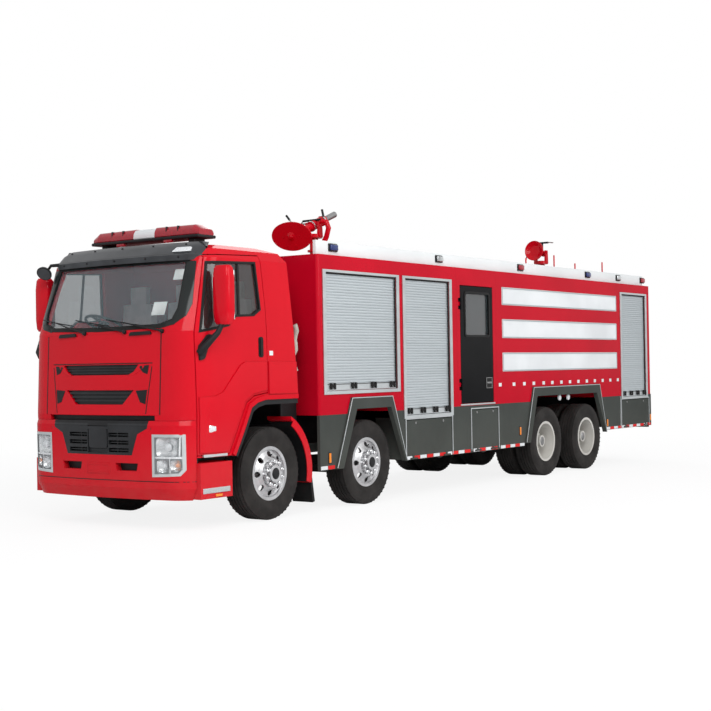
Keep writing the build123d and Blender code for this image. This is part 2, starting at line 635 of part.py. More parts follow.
# Shutter opening: front x, rear x, bottom z, top z
SIDE_SHUTTERS = (
    (3505, 2040, 1385, 2760),
    (1840, 780, 1040, 2760),
    (-4670, -5630, 1090, 2787),
)
REAR_SHUTTER = (-700, 700, 1250, 2700)
FRAME_WIDTH = 60
FRAME_DROP = 40
FRAME_PROUD = 12
LOCKER_DEPTH = 650
SHUTTER_THICKNESS = 35
PUMP_DOOR = (500, -380, 1140, 2730)
PUMP_DOOR_THICKNESS = 50
PUMP_WINDOW = (380, -280, 2045, 2640)

# Wheel-arch opening in the skirt: outer outline then inner outline, as (x, z) points from the front foot
ARCHES = (
    (((3356, 480), (3036, 1300), (2177, 1300), (1866, 480)), ((3246, 430), (2939, 1162), (2218, 1162), (1880, 430))),
    (((-1264, 520), (-1517, 1322), (-3753, 1322), (-3997, 550)),
     ((-1364, 420), (-1626, 1187), (-3640, 1187), (-4035, 420))),
)
# Skirt locker: front x, rear x, bottom z, top z
SKIRT_LOCKERS = (
    (1850, 750, 495, 985),
    (240, -490, 505, 1060),
    (-4620, -5735, 600, 1047),
)
SKIRT_BOX_Y = 800
# Joints between the body's modules: lockers, pump room, water tank and rear lockers
MODULE_JOINTS_X = (590, -470, -4560)
REAR_PANEL_Y = SIDE_Y - SKIRT_THICKNESS - 1
SKIRT_WALL = 25
FLAP_HINGE_IN = 150
PUMP_HINGES_Z = (1400, 2480)

with BuildPart() as body:
    block(BODY_X, (-SIDE_Y, SIDE_Y), BODY_Z)
    fillet(body.edges().filter_by(Axis.Z), 35)
    for front_x, rear_x, bottom_z, top_z in SIDE_SHUTTERS:
        for side in (1, -1):
            block((front_x, rear_x), (side * (SIDE_Y - LOCKER_DEPTH), side * 1300), (bottom_z, top_z), Mode.SUBTRACT)
    block((BODY_X[0] - 50, BODY_X[0] + 100), REAR_SHUTTER[:2], REAR_SHUTTER[2:], Mode.SUBTRACT)
    block(PUMP_DOOR[:2], (-1300, 1300), PUMP_DOOR[2:], Mode.SUBTRACT)
    for outer, inner in ARCHES:
        arch_x = (outer[0][0], outer[-1][0])
        well = (outer[1][0] - 5, outer[2][0] + 5)
        block(well, (-SIDE_Y, SIDE_Y), (1100, inner[1][1]), Mode.SUBTRACT)
        for side in (1, -1):
            cut_y = (side * (SIDE_Y - SKIRT_THICKNESS), side * 1300)
            add(side_prism(outer, cut_y), mode=Mode.SUBTRACT)
    for joint_x in MODULE_JOINTS_X:
        block((joint_x - 1, joint_x + 1), (-1300, 1300), (1000, 3000), Mode.SUBTRACT)
    with BuildPart(mode=Mode.PRIVATE) as hinges:
        for hinge_z in PUMP_HINGES_Z:
            add(hinge_half((PUMP_DOOR[0], hinge_z), False, False, PUMP_DOOR[0] + 45))
    add(hinges.part)
    add(mirrored(hinges.part))
save(body.part, "body_shell")

# Grey skirts with the boxes of their lockers


def along(start, end, z):
    """x where the line through two (x, z) points reaches a height."""
    return start[0] + (end[0] - start[0]) * (z - start[1]) / (end[1] - start[1])


# Skirt segment: line of its front end, line of its rear end, each as two (x, z) points, and its bottom z
UPRIGHT_FRONT = ((BODY_X[1] - 1, 0), (BODY_X[1] - 1, 1))
UPRIGHT_REAR = ((BODY_X[0] + 1, 0), (BODY_X[0] + 1, 1))
SKIRT_SEGMENTS = (
    (UPRIGHT_FRONT, ARCHES[0][0][:2], SKIRT_BOTTOM_Z),
    (ARCHES[0][0][3:1:-1], ARCHES[1][0][:2], SKIRT_BOTTOM_Z),
    (ARCHES[1][0][3:1:-1], UPRIGHT_REAR, 575),
)
with BuildPart() as skirts:
    for front_line, rear_line, low_z in SKIRT_SEGMENTS:
        outline = ((along(*front_line, low_z), low_z), (along(*rear_line, low_z), low_z),
                   (along(*rear_line, BODY_Z[0]), BODY_Z[0]), (along(*front_line, BODY_Z[0]), BODY_Z[0]))
        add(side_prism(outline, (SIDE_Y - SKIRT_THICKNESS, SIDE_Y)))
    for front_x, rear_x, bottom_z, top_z in SKIRT_LOCKERS:
        box_x = (front_x + SKIRT_WALL, rear_x - SKIRT_WALL)
        box_z = (bottom_z - 10, top_z + SKIRT_WALL)
        block(box_x, (SKIRT_BOX_Y, SIDE_Y - SKIRT_THICKNESS), box_z)
        block((front_x, rear_x), (SKIRT_BOX_Y + SKIRT_WALL, SIDE_Y + 50), (bottom_z, top_z), Mode.SUBTRACT)
        block(box_x, (RAIL_Y[1], SKIRT_BOX_Y), (RAIL_Z[0] + 20, RAIL_Z[0] + 70))
    for front_x, rear_x, bottom_z, top_z in SIDE_SHUTTERS:
        block((front_x + FRAME_WIDTH, rear_x - FRAME_WIDTH), (SIDE_Y - 60, SIDE_Y + 50),
              (bottom_z - FRAME_DROP, top_z), Mode.SUBTRACT)
    for front_x, rear_x, bottom_z, top_z in SKIRT_LOCKERS:
        for hinge_x in (front_x - FLAP_HINGE_IN, rear_x + FLAP_HINGE_IN):
            add(hinge_half((hinge_x, bottom_z), True, False, bottom_z - 14))
    mirror(about=Plane.XZ)
    block((BODY_X[0] + 2, BODY_X[0] + 40), (-REAR_PANEL_Y, REAR_PANEL_Y), (710, BODY_Z[0]))
save(skirts.part, "body_skirts")

# Wheel-arch trims, standing a little proud of the skirts
ARCH_PROUD = 25
with BuildPart() as arches:
    for outer, inner in ARCHES:
        with BuildPart(mode=Mode.PRIVATE) as arch:
            add(side_prism(outer, (SIDE_Y - SKIRT_THICKNESS, SIDE_Y + ARCH_PROUD)))
            add(side_prism(inner, (SIDE_Y - 100, SIDE_Y + 100)), mode=Mode.SUBTRACT)
        add(arch.part)
        add(mirrored(arch.part))
save(arches.part, "arch_trims")

# Locker flaps in the skirts, hinged along their lower edges
for number, (front_x, rear_x, bottom_z, top_z) in enumerate(SKIRT_LOCKERS, start=1):
    with BuildPart() as flap:
        block((front_x - DOOR_GAP, rear_x + DOOR_GAP), (SIDE_Y - SKIRT_THICKNESS, SIDE_Y),
              (bottom_z + DOOR_GAP, top_z - DOOR_GAP))
        for hinge_x in (front_x - FLAP_HINGE_IN, rear_x + FLAP_HINGE_IN):
            add(hinge_half((hinge_x, bottom_z), True, True, bottom_z + 60))
    save(flap.part, f"locker_flap_{number}_left")
    save(mirrored(flap.part), f"locker_flap_{number}_right")

# Pump-room doors, hinged at their front edges
with BuildPart() as pump_door:
    block((PUMP_DOOR[0] - DOOR_GAP, PUMP_DOOR[1] + DOOR_GAP), (SIDE_Y - PUMP_DOOR_THICKNESS, SIDE_Y),
          (PUMP_DOOR[2] + DOOR_GAP, PUMP_DOOR[3] - DOOR_GAP))
    block(PUMP_WINDOW[:2], (SIDE_Y - 100, SIDE_Y + 10), PUMP_WINDOW[2:], Mode.SUBTRACT)
    for hinge_z in PUMP_HINGES_Z:
        add(hinge_half((PUMP_DOOR[0], hinge_z), False, True, PUMP_DOOR[0] - 60))
save(pump_door.part, "pump_door_left")
save(mirrored(pump_door.part), "pump_door_right")

# Roller shutter curtains and their light frames
with BuildPart() as shutters:
    for front_x, rear_x, bottom_z, top_z in SIDE_SHUTTERS:
        block((front_x, rear_x), (SIDE_Y - 15 - SHUTTER_THICKNESS, SIDE_Y - 15), (bottom_z, top_z))
    mirror(about=Plane.XZ)
    block((BODY_X[0] + 10, BODY_X[0] + 10 + SHUTTER_THICKNESS), REAR_SHUTTER[:2], REAR_SHUTTER[2:])
save(shutters.part, "roller_shutters")
with BuildPart() as shutter_frames:
    for front_x, rear_x, bottom_z, top_z in SIDE_SHUTTERS:
        block((front_x + FRAME_WIDTH, rear_x - FRAME_WIDTH), (SIDE_Y, SIDE_Y + FRAME_PROUD),
              (bottom_z - FRAME_DROP, top_z + 30))
        block((front_x, rear_x), (SIDE_Y - 5, SIDE_Y + 50), (bottom_z, top_z), Mode.SUBTRACT)
    mirror(about=Plane.XZ)
    block((BODY_X[0] - FRAME_PROUD, BODY_X[0]), (REAR_SHUTTER[0] - 40, REAR_SHUTTER[1] + 40),
          (REAR_SHUTTER[2] - 40, REAR_SHUTTER[3] + 40))
    block((BODY_X[0] - 50, BODY_X[0] + 5), REAR_SHUTTER[:2], REAR_SHUTTER[2:], Mode.SUBTRACT)
save(shutter_frames.part, "shutter_frames")

# White parapet around the roof, as two side walls and a rear wall
PARAPET_WALL = 40
PARAPET_Y = SIDE_Y - PARAPET_INSET
PARAPET_X = (BODY_X[0] + PARAPET_INSET, BODY_X[1] - PARAPET_INSET)
with BuildPart() as parapet:
    for side in (1, -1):
        block(PARAPET_X, (side * (PARAPET_Y - PARAPET_WALL), side * PARAPET_Y), (BODY_Z[1], PARAPET_TOP_Z))
    inner_y = PARAPET_Y - PARAPET_WALL - 2
    block((PARAPET_X[0], PARAPET_X[0] + PARAPET_WALL), (-inner_y, inner_y), (BODY_Z[1], PARAPET_TOP_Z))
save(parapet.part, "roof_parapet")

# Lamps: on the parapet at these x, at the skirts' ends, and tail lamps
PARAPET_LAMPS_X = (3310, 980, -1240, -3450, -4610, -5600)
# Side lamp: x, z
SIDE_LAMPS = ((3472, 616), (1800, 460), (-1116, 703), (-4050, 691), (-5790, 711))
with BuildPart() as lamps:
    for lamp_x in PARAPET_LAMPS_X:
        block((lamp_x - 75, lamp_x + 75), (PARAPET_Y, PARAPET_Y + 70), (3025, 3100))
    for lamp_x, lamp_z in SIDE_LAMPS:
        if lamp_z > SKIRT_BOTTOM_Z:
            block((lamp_x - 20, lamp_x + 20), (SIDE_Y, SIDE_Y + 15), (lamp_z - 60, lamp_z + 60))
    block((BODY_X[0] - 23, BODY_X[0] + 2), (950, 1150), (740, 1080))
    mirror(about=Plane.XZ)
    add(headlamps.part)
save(lamps.part, "lamps")

# Rear ladder beside the rear shutter
LADDER_Y = (-1130, -830)
LADDER_X = REAR_X + 15
with BuildPart() as ladder:
    for rail_y in LADDER_Y:
        upright_rod(LADDER_X, rail_y, (1200, 3120), 14)
        for stay_z in (1300, 2100, 2900):
            block((LADDER_X, BODY_X[0]), (rail_y - 8, rail_y + 8), (stay_z - 8, stay_z + 8))
    for rung in range(7):
        across_rod(LADDER_X, 1290 + 290 * rung, LADDER_Y, 11)
save(ladder.part, "rear_ladder")

# Fire monitors on the roof
# Name, riser x, riser radius, tilt axis height
MONITOR_RISERS = (("front", 2050, 55, 3500), ("rear", -4270, 60, 3520))
HEAD_Z = 3330
SPIGOT_RADIUS = 35
with BuildPart() as risers:
    for name, riser_x, riser_radius, tilt_z in MONITOR_RISERS:
        upright_rod(riser_x, 0, (BODY_Z[1], HEAD_Z - HINGE_GAP), riser_radius)
        upright_rod(riser_x, 0, (BODY_Z[1], BODY_Z[1] + 25), riser_radius + 60)
        upright_rod(riser_x, 0, (3150, 3175), riser_radius + 30)
        upright_rod(riser_x, 0, (BODY_Z[1], HEAD_Z + 30), SPIGOT_RADIUS)
save(risers.part, "monitor_risers")

YOKE_Y = (85, 110)
PIVOT_RADIUS = 20
# Front barrel, about its tilt axis: points (along the barrel, radius) from the rear tip to the boss of its dish
FRONT_BARREL = ((-490, 0), (-490, 32), (-230, 36), (-230, 62), (80, 62), (80, 45), (400, 45), (490, 90),
                (505, 60), (520, 30), (540, 20), (540, 0))
# The front monitor's oval spreading dish: place along the barrel, half width, half height
SPREADING_DISH = ((470, 260, 150), (490, 315, 190), (505, 315, 190))
REAR_BARREL = ((-110, 0), (-110, 50), (85, 55), (120, 100), (235, 165), (260, 165), (215, 90), (205, 0))
BARREL_PITCH = {"front": -21, "rear": 5}
for name, riser_x, riser_radius, tilt_z in MONITOR_RISERS:
    with BuildPart() as head:
        upright_rod(riser_x, 0, (HEAD_Z, HEAD_Z + 50), riser_radius + 55)
        for side in (1, -1):
            yoke = ((riser_x - 50, HEAD_Z + 10), (riser_x + 50, HEAD_Z + 10), (riser_x + 35, tilt_z + 35),
                    (riser_x - 35, tilt_z + 35))
            add(side_prism(yoke, (side * YOKE_Y[0], side * YOKE_Y[1])))
        across_rod(riser_x, tilt_z, (-130, 130), PIVOT_RADIUS + RUNNING_GAP, Mode.SUBTRACT)
        upright_rod(riser_x, 0, (HEAD_Z - 10, HEAD_Z + 35), SPIGOT_RADIUS + RUNNING_GAP, Mode.SUBTRACT)
    save(head.part, f"monitor_head_{name}")
    with BuildPart() as barrel:
        outline = FRONT_BARREL if name == "front" else REAR_BARREL
        with BuildSketch(Plane.XZ):
            with BuildLine():
                Polyline(*outline, close=True)
            make_face()
        revolve(axis=Axis.X)
        with Locations(Location((0, 0, 0), (90, 0, 0))):
            Cylinder(PIVOT_RADIUS, 240)
        if name == "front":
            for place, half_width, half_height in SPREADING_DISH:
                with BuildSketch(Plane.YZ.offset(place)):
                    Ellipse(half_width, half_height)
            loft(ruled=True)
    with BuildPart() as placed:
        with Locations(Location((riser_x, 0, tilt_z), (0, -BARREL_PITCH[name], 0))):
            add(barrel.part)
    save(placed.part, f"monitor_barrel_{name}")
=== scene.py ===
import math
import random

import bmesh
import bpy
from mathutils import Matrix, Vector


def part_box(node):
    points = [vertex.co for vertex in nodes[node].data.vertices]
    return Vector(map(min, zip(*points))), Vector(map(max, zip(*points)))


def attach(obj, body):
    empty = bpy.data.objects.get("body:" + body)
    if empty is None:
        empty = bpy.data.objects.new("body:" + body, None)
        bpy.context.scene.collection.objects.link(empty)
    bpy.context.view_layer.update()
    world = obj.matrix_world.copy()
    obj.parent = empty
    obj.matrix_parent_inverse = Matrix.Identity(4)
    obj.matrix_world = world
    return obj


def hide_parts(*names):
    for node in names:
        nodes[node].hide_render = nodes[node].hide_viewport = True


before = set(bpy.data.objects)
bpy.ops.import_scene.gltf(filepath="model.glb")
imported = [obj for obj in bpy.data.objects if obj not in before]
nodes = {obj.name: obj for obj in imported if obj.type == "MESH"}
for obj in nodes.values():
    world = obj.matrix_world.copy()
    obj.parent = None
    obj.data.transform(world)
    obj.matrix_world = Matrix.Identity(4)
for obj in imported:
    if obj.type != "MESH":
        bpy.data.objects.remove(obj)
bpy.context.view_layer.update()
random.seed(7)

# Metres, in the CAD frame: +X forward, +Y to the truck's left, +Z up.

# Driving places, read from the frame
SIDE_Y = 1.25
AXLES_X = [sum(corner.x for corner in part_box(f"tyre_{n}_left")) / 2 for n in (1, 2, 3, 4)]
HUB_Z = sum(corner.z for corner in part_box("tyre_1_left")) / 2
TYRE_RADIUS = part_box("tyre_1_left")[1].z - HUB_Z
BODY_REAR_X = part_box("body_shell")[0].x
LEFT, RIGHT = 1, -1
SIDES = ((LEFT, "left"), (RIGHT, "right"))

# Materials


def principled(name, colour, rough, metallic=0.0, coat=0.0, coat_rough=0.05, alpha=1.0, glow=0.0):
    """New material with its shader. Constants sit on the shader's own sockets."""
    material = bpy.data.materials.new(name)
    material.use_nodes = True
    shader = material.node_tree.nodes["Principled BSDF"]
    sockets = {"Base Color": (*colour, 1), "Roughness": rough, "Metallic": metallic,
               "Coat Weight": coat, "Coat Roughness": coat_rough, "Alpha": alpha}
    if glow:
        sockets.update({"Emission Color": (*colour, 1), "Emission Strength": glow})
    for socket, value in sockets.items():
        shader.inputs[socket].default_value = value
    return material, shader


def add_node(material, kind, **settings):
    """Node of a kind with its properties and input defaults set."""
    node = material.node_tree.nodes.new(kind)
    for key, value in settings.items():
        if hasattr(node, key):
            setattr(node, key, value)
        else:
            node.inputs[key.replace("_", " ").title()].default_value = value
    return node


def link(material, source, socket_out, target, socket_in):
    """Link between two nodes."""
    material.node_tree.links.new(source.outputs[socket_out], target.inputs[socket_in])


def shade(colour, share):
    """Colour made darker or lighter."""
    return tuple(min(1, c * share) for c in colour)


def noise_at(material, scale, detail=4.0, stretch=(1, 1, 1)):
    """Noise in object coordinates, which are metres in the truck's frame."""
    coordinates = add_node(material, "ShaderNodeTexCoord")
    mapping = add_node(material, "ShaderNodeMapping", scale=stretch)
    noise = add_node(material, "ShaderNodeTexNoise", scale=scale, detail=detail)
    link(material, coordinates, "Object", mapping, "Vector")
    link(material, mapping, "Vector", noise, "Vector")
    return noise


def vary_colour(material, shader, dark, light, scale, stretch=(1, 1, 1)):
    """Base colour that drifts between two tones."""
    noise = noise_at(material, scale, stretch=stretch)
    ramp = add_node(material, "ShaderNodeValToRGB")
    for element, position, colour in zip(ramp.color_ramp.elements, (0.35, 0.65), (dark, light)):
        element.position = position
        element.color = (*colour, 1)
    link(material, noise, "Fac", ramp, "Fac")
    link(material, ramp, "Color", shader, "Base Color")
    return ramp


def vary_rough(material, shader, low, high, scale):
    """Roughness that drifts between two values."""
    noise = noise_at(material, scale)
    drift = add_node(material, "ShaderNodeMapRange", to_min=low, to_max=high)
    link(material, noise, "Fac", drift, "Value")
    link(material, drift, "Result", shader, "Roughness")


def bump(material, shader, scale, depth, detail=3.0, stretch=(1, 1, 1), rounded=0.0):
    """Fine relief from noise, with edges rounded in the shading where asked."""
    noise = noise_at(material, scale, detail, stretch)
    relief = add_node(material, "ShaderNodeBump", strength=1.0, distance=depth)
    link(material, noise, "Fac", relief, "Height")
    if rounded:
        edge = add_node(material, "ShaderNodeBevel", samples=6, radius=rounded)
        link(material, edge, "Normal", relief, "Normal")
    link(material, relief, "Normal", shader, "Normal")


DUST_COLOUR = (0.33, 0.27, 0.21, 1)
# Heights between which the dust fades out, in metres
DUST_LOW, DUST_HIGH = 0.2, 1.0


def add_dust(material, shader, ramp, share):
    """Road dust over a colour ramp, up to a share low on the truck."""
    grime = noise_at(material, 9, detail=8)
    height = add_node(material, "ShaderNodeSeparateXYZ")
    place = add_node(material, "ShaderNodeNewGeometry")
    low = add_node(material, "ShaderNodeMapRange", from_min=DUST_HIGH, from_max=DUST_LOW, to_max=share)
    mixed = add_node(material, "ShaderNodeMath", operation="MULTIPLY")
    blend = add_node(material, "ShaderNodeMix", data_type="RGBA")
    blend.inputs["B"].default_value = DUST_COLOUR
    link(material, place, "Position", height, "Vector")
    link(material, height, "Z", low, "Value")
    link(material, low, "Result", mixed, 0)
    link(material, grime, "Fac", mixed, 1)
    link(material, mixed, 0, blend, "Factor")
    link(material, ramp, "Color", blend, "A")
    link(material, blend, "Result", shader, "Base Color")


def paint(name, colour, rough=0.28, coat=0.6, rounded=0.006, tone=0.1, dusty=0.0):
    """Vehicle paint: drifting tone, slight orange peel and rounded edges."""
    material, shader = principled(name, colour, rough, coat=coat, coat_rough=0.12)
    shader.inputs["Specular IOR Level"].default_value = 0.0
    ramp = vary_colour(material, shader, shade(colour, 1 - tone), shade(colour, 1 + tone), 1.3)
    if dusty:
        add_dust(material, shader, ramp, dusty)
    vary_rough(material, shader, rough * 0.85, rough * 1.25, 6)
    bump(material, shader, 160, 0.00012, rounded=rounded)
    return material


def metal(name, colour, rough, grain=(1, 1, 1), depth=0.0002, rounded=0.003, tone=0.12):
    """Bare or plated metal with a directional grain."""
    material, shader = principled(name, colour, rough, metallic=1.0)
    vary_colour(material, shader, shade(colour, 1 - tone), colour, 7, stretch=grain)
    vary_rough(material, shader, rough * 0.8, rough * 1.3, 22)
    bump(material, shader, 60, depth, stretch=grain, rounded=rounded)
    return material


def plastic(name, colour, rough, grain=420, depth=0.0003, rounded=0.003, tone=0.2):
    """Moulded plastic or rubber with a fine leather-like grain."""
    material, shader = principled(name, colour, rough)
    shader.inputs["Specular IOR Level"].default_value = 0.2
    vary_colour(material, shader, shade(colour, 1 - tone), shade(colour, 1 + tone), 5)
    vary_rough(material, shader, rough * 0.9, min(1, rough * 1.15), 30)
    bump(material, shader, grain, depth, rounded=rounded)
    return material


def glass(name, colour, alpha, rough=0.02):
    """Window glass seen from outside: a tinted, partly clear, glossy skin. On the windscreen its colour is
    partly painted reflection.
    """
    material, shader = principled(name, colour, rough, coat=0.5, coat_rough=0.01, alpha=alpha)
    shader.inputs["Specular IOR Level"].default_value = 0.9
    vary_rough(material, shader, rough, rough + 0.03, 3)
    bump(material, shader, 2.5, 0.0004)
    return material


def lens(name, colour, glow, ribs=90.0):
    """Coloured lamp lens with moulded ribs."""
    material, shader = principled(name, colour, 0.12, coat=0.25, glow=glow)
    shader.inputs["Specular IOR Level"].default_value = 0.35
    vary_colour(material, shader, shade(colour, 0.7), colour, ribs, stretch=(1, 1, 0.2))
    bump(material, shader, ribs, 0.0015, detail=1)
    return material


RED_COLOUR = (0.53, 0.003, 0.012)
RED = paint("paint_red", RED_COLOUR, rough=0.26, coat=0.30, rounded=0.008, tone=0.04)
RED_LOW = paint("paint_red_low", RED_COLOUR, rough=0.28, coat=0.30, rounded=0.012, tone=0.04, dusty=0.10)
RED_EDGE = paint("paint_red_panel", RED_COLOUR, rough=0.24, coat=0.35, rounded=0.022, tone=0.04)
BODY_RED = paint("paint_red_body", (0.44, 0.002, 0.014), rough=0.32, coat=0.22, rounded=0.01, tone=0.05)
GREY = paint("paint_grey", (0.056, 0.061, 0.056), rough=0.45, coat=0.08, rounded=0.006, tone=0.1, dusty=0.08)
WHITE = paint("paint_white", (0.69, 0.72, 0.72), rough=0.35, coat=0.1, rounded=0.006, tone=0.03)
BLACK = paint("paint_black", (0.004, 0.004, 0.0045), rough=0.3, coat=0.22, rounded=0.004, tone=0.3)
CHASSIS = paint("paint_chassis", (0.008, 0.008, 0.009), rough=0.55, coat=0.0, rounded=0.004, tone=0.35,
                dusty=0.15)
RUBBER = plastic("rubber_seal", (0.006, 0.006, 0.006), 0.6)
TYRE = plastic("tyre_rubber", (0.020, 0.018, 0.017), 0.8, grain=300, depth=0.0006, tone=0.3)
DARK = plastic("plastic_dark", (0.008, 0.008, 0.009), 0.5)
GRILLE = plastic("plastic_grille", (0.018, 0.019, 0.021), 0.38)
VISOR = plastic("plastic_visor", (0.040, 0.042, 0.046), 0.32, grain=500, depth=0.0002, rounded=0.01)
ALUMINIUM = metal("aluminium_trim", (0.56, 0.59, 0.60), 0.34, grain=(0.2, 1, 1))
SHUTTER = metal("aluminium_slats", (0.50, 0.54, 0.56), 0.45, grain=(0.1, 1, 4), tone=0.06)
STEEL = metal("rim_steel", (0.55, 0.55, 0.56), 0.3, depth=0.0003, tone=0.2)
RIM_SILVER = paint("rim_silver", (0.50, 0.49, 0.46), rough=0.4, coat=0.05, rounded=0.004, tone=0.12,
                   dusty=0.25)
FRIT = paint("glass_edge", (0.012, 0.015, 0.015), rough=0.08, coat=0.5, rounded=0.002, tone=0.3)
CHROME = metal("chrome", (0.82, 0.83, 0.84), 0.1, depth=0.00003, tone=0.03)
DULL = metal("metal_dull", (0.3, 0.3, 0.3), 0.5, tone=0.3)
# The windscreen's light bluish colour is partly the glass's tint and partly painted reflection
GLASS = glass("glass_screen_painted_reflection", (0.20, 0.27, 0.30), 0.17)
SIDE_GLASS = glass("glass_side", (0.03, 0.036, 0.036), 0.46)
DOOR_GLASS = glass("glass_door", (0.045, 0.055, 0.058), 0.62)
HOSE = plastic("hose_pale", (0.42, 0.40, 0.35), 0.7)
CLEAR = glass("glass_lamp", (0.75, 0.78, 0.8), 0.12)
MIRROR = metal("mirror_glass", (0.75, 0.78, 0.8), 0.03, depth=0.00001, tone=0.03, rounded=0.001)
WHITE_LENS = lens("lens_white", (0.72, 0.74, 0.76), glow=0.02)
RED_LENS = lens("lens_red", (0.34, 0.003, 0.016), glow=0.03)
BLUE_LENS = lens("lens_blue", (0.012, 0.028, 0.14), glow=0.02)
AMBER_LENS = lens("lens_amber", (0.80, 0.22, 0.006), glow=0.10)
REFLECTOR = metal("lamp_reflector", (0.72, 0.74, 0.75), 0.16, depth=0.004, tone=0.45)
LAMP_BACK = plastic("lamp_back", (0.16, 0.17, 0.18), 0.35, grain=90, depth=0.001)
PAPER = plastic("paper", (0.75, 0.75, 0.72), 0.8, grain=200)
TAPE_WHITE = paint("tape_white", (0.66, 0.68, 0.69), rough=0.35, coat=0.05, rounded=0.001, tone=0.06)
TAPE_RED = paint("tape_red", (0.62, 0.02, 0.02), rough=0.35, coat=0.2, rounded=0.001, tone=0.1)
ENGINE = plastic("cast_metal", (0.09, 0.09, 0.09), 0.6, grain=120, depth=0.001)


def fabric(name, colour):
    """Woven seat cloth: two crossed waves as bump, and a colour that drifts between two tones."""
    material, shader = principled(name, colour, 0.9)
    shader.inputs["Sheen Weight"].default_value = 0.25
    coordinates = add_node(material, "ShaderNodeTexCoord")
    both = add_node(material, "ShaderNodeMath", operation="MAXIMUM")
    for slot, direction in enumerate(("X", "Z")):
        wave = add_node(material, "ShaderNodeTexWave", bands_direction=direction, scale=160, distortion=0.6)
        link(material, coordinates, "Object", wave, "Vector")
        link(material, wave, "Fac", both, slot)
    relief = add_node(material, "ShaderNodeBump", distance=0.0006)
    link(material, both, 0, relief, "Height")
    link(material, relief, "Normal", shader, "Normal")
    vary_colour(material, shader, shade(colour, 0.85), colour, 14)
    return material


SEAT_CLOTH = fabric("seat_cloth", (0.72, 0.71, 0.69))

# Shaping helpers


def finished(name, bm, material, body, smooth=False, angle=35):
    """Object from a bmesh that rides on a body."""
    mesh = bpy.data.meshes.new(name)
    bmesh.ops.recalc_face_normals(bm, faces=bm.faces)
    bm.to_mesh(mesh)
    bm.free()
    for entry in material if isinstance(material, list) else [material]:
        mesh.materials.append(entry)
    obj = bpy.data.objects.new(name, mesh)
    bpy.context.scene.collection.objects.link(obj)
    if smooth:
        mesh.polygons.foreach_set("use_smooth", [True] * len(mesh.polygons))
        mesh.set_sharp_from_angle(angle=math.radians(angle))
    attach(obj, body)
    return obj


def around(middle, half):
    """Range about a middle."""
    return (middle - half, middle + half)


def mirrored(points, sign):
    """Points (y, z) on the left, or mirrored to the right and turned round."""
    return [(sign * y, z) for y, z in points][::sign]


def frame_of(x_range, z_range):
    """Rectangle as four points."""
    (x0, x1), (z0, z1) = x_range, z_range
    return [(x0, z0), (x1, z0), (x1, z1), (x0, z1)]


def rounded_outline(outline, radius, steps=5):
    """Outline with its corners rounded."""
    points = []
    count = len(outline)
    for k in range(count):
        a, b, c = (Vector(outline[(k + s) % count]) for s in (-1, 0, 1))
        to_a, to_c = (a - b), (c - b)
        cut = min(radius, to_a.length * 0.45, to_c.length * 0.45)
        start, end = b + to_a.normalized() * cut, b + to_c.normalized() * cut
        for s in range(steps + 1):
            t = s / steps
            point = start * (1 - t) ** 2 + b * 2 * t * (1 - t) + end * t * t
            points.append((point.x, point.y))
    return points


def add_box(bm, low, high, bevel=0.0, index=0, turn=None, segments=2):
    """Bevelled box in a bmesh, between two corners, turned about its middle by a matrix."""
    verts = bmesh.ops.create_cube(bm, size=1.0)["verts"]
    middle = (Vector(low) + Vector(high)) / 2
    size = Vector(high) - Vector(low)
    bmesh.ops.scale(bm, verts=verts, vec=tuple(abs(s) for s in size))
    if bevel:
        edges = list(set(e for v in verts for e in v.link_edges))
        verts = bmesh.ops.bevel(bm, geom=edges, offset=bevel, segments=segments, affect="EDGES",
                                profile=0.5)["verts"]
    faces = set(f for v in verts for f in v.link_faces)
    if turn is not None:
        bmesh.ops.transform(bm, matrix=turn.to_4x4(), verts=verts)
    bmesh.ops.translate(bm, verts=verts, vec=middle)
    for face in faces:
        face.material_index = index


def add_block(bm, middle, half, **look):
    """Box by its middle and its half sizes."""
    add_box(bm, Vector(middle) - Vector(half), Vector(middle) + Vector(half), **look)


def add_side_box(bm, side, x_range, y_range, z_range, **look):
    """Box on one side, with y measured outward from the middle plane."""
    low, high = zip(x_range, [side * y for y in y_range], z_range)
    add_box(bm, low, high, **look)


def add_flank_box(bm, side, x_range, out_range, z_range, **look):
    """Box at the body's flank, with y measured outward from the flank."""
    add_side_box(bm, side, x_range, [SIDE_Y + out for out in out_range], z_range, **look)


def add_loft(bm, sections, index=0, closed=False, caps=True):
    """Skin through sections of points, with flat ends unless it closes on itself."""
    rings = [[bm.verts.new(point) for point in section] for section in sections]
    pairs = list(zip(rings, rings[1:]))
    if closed:
        pairs.append((rings[-1], rings[0]))
    for one, two in pairs:
        for k in range(len(one)):
            j = (k + 1) % len(one)
            bm.faces.new((one[k], one[j], two[j], two[k])).material_index = index
    if caps and not closed:
        for ring in (rings[0], rings[-1]):
            bm.faces.new(ring).material_index = index
    return rings


def square_axes(way):
    """Two directions square to a way and to each other."""
    across = way.cross(Vector((0, 0, 1)))
    if across.length < 0.1:
        across = way.cross(Vector((1, 0, 0)))
    across.normalize()
    return across, across.cross(way)


def circle(centre, across, up, radius, sides):
    """Points round a centre."""
    angles = [2 * math.pi * s / sides for s in range(sides)]
    return [centre + (across * math.cos(a) + up * math.sin(a)) * radius for a in angles]


def add_tube(bm, points, radius, sides=12, index=0):
    """Round tube along points, with flat ends."""
    points = [Vector(p) for p in points]
    last = len(points) - 1
    sections = []
    for k, point in enumerate(points):
        way = (points[min(k + 1, last)] - points[max(k - 1, 0)]).normalized()
        if k:
            across = (across - way * across.dot(way)).normalized()
            up = across.cross(way)
        else:
            across, up = square_axes(way)
        size = radius[k] if isinstance(radius, (list, tuple)) else radius
        sections.append(circle(point, across, up, size, sides))
    add_loft(bm, sections, index)


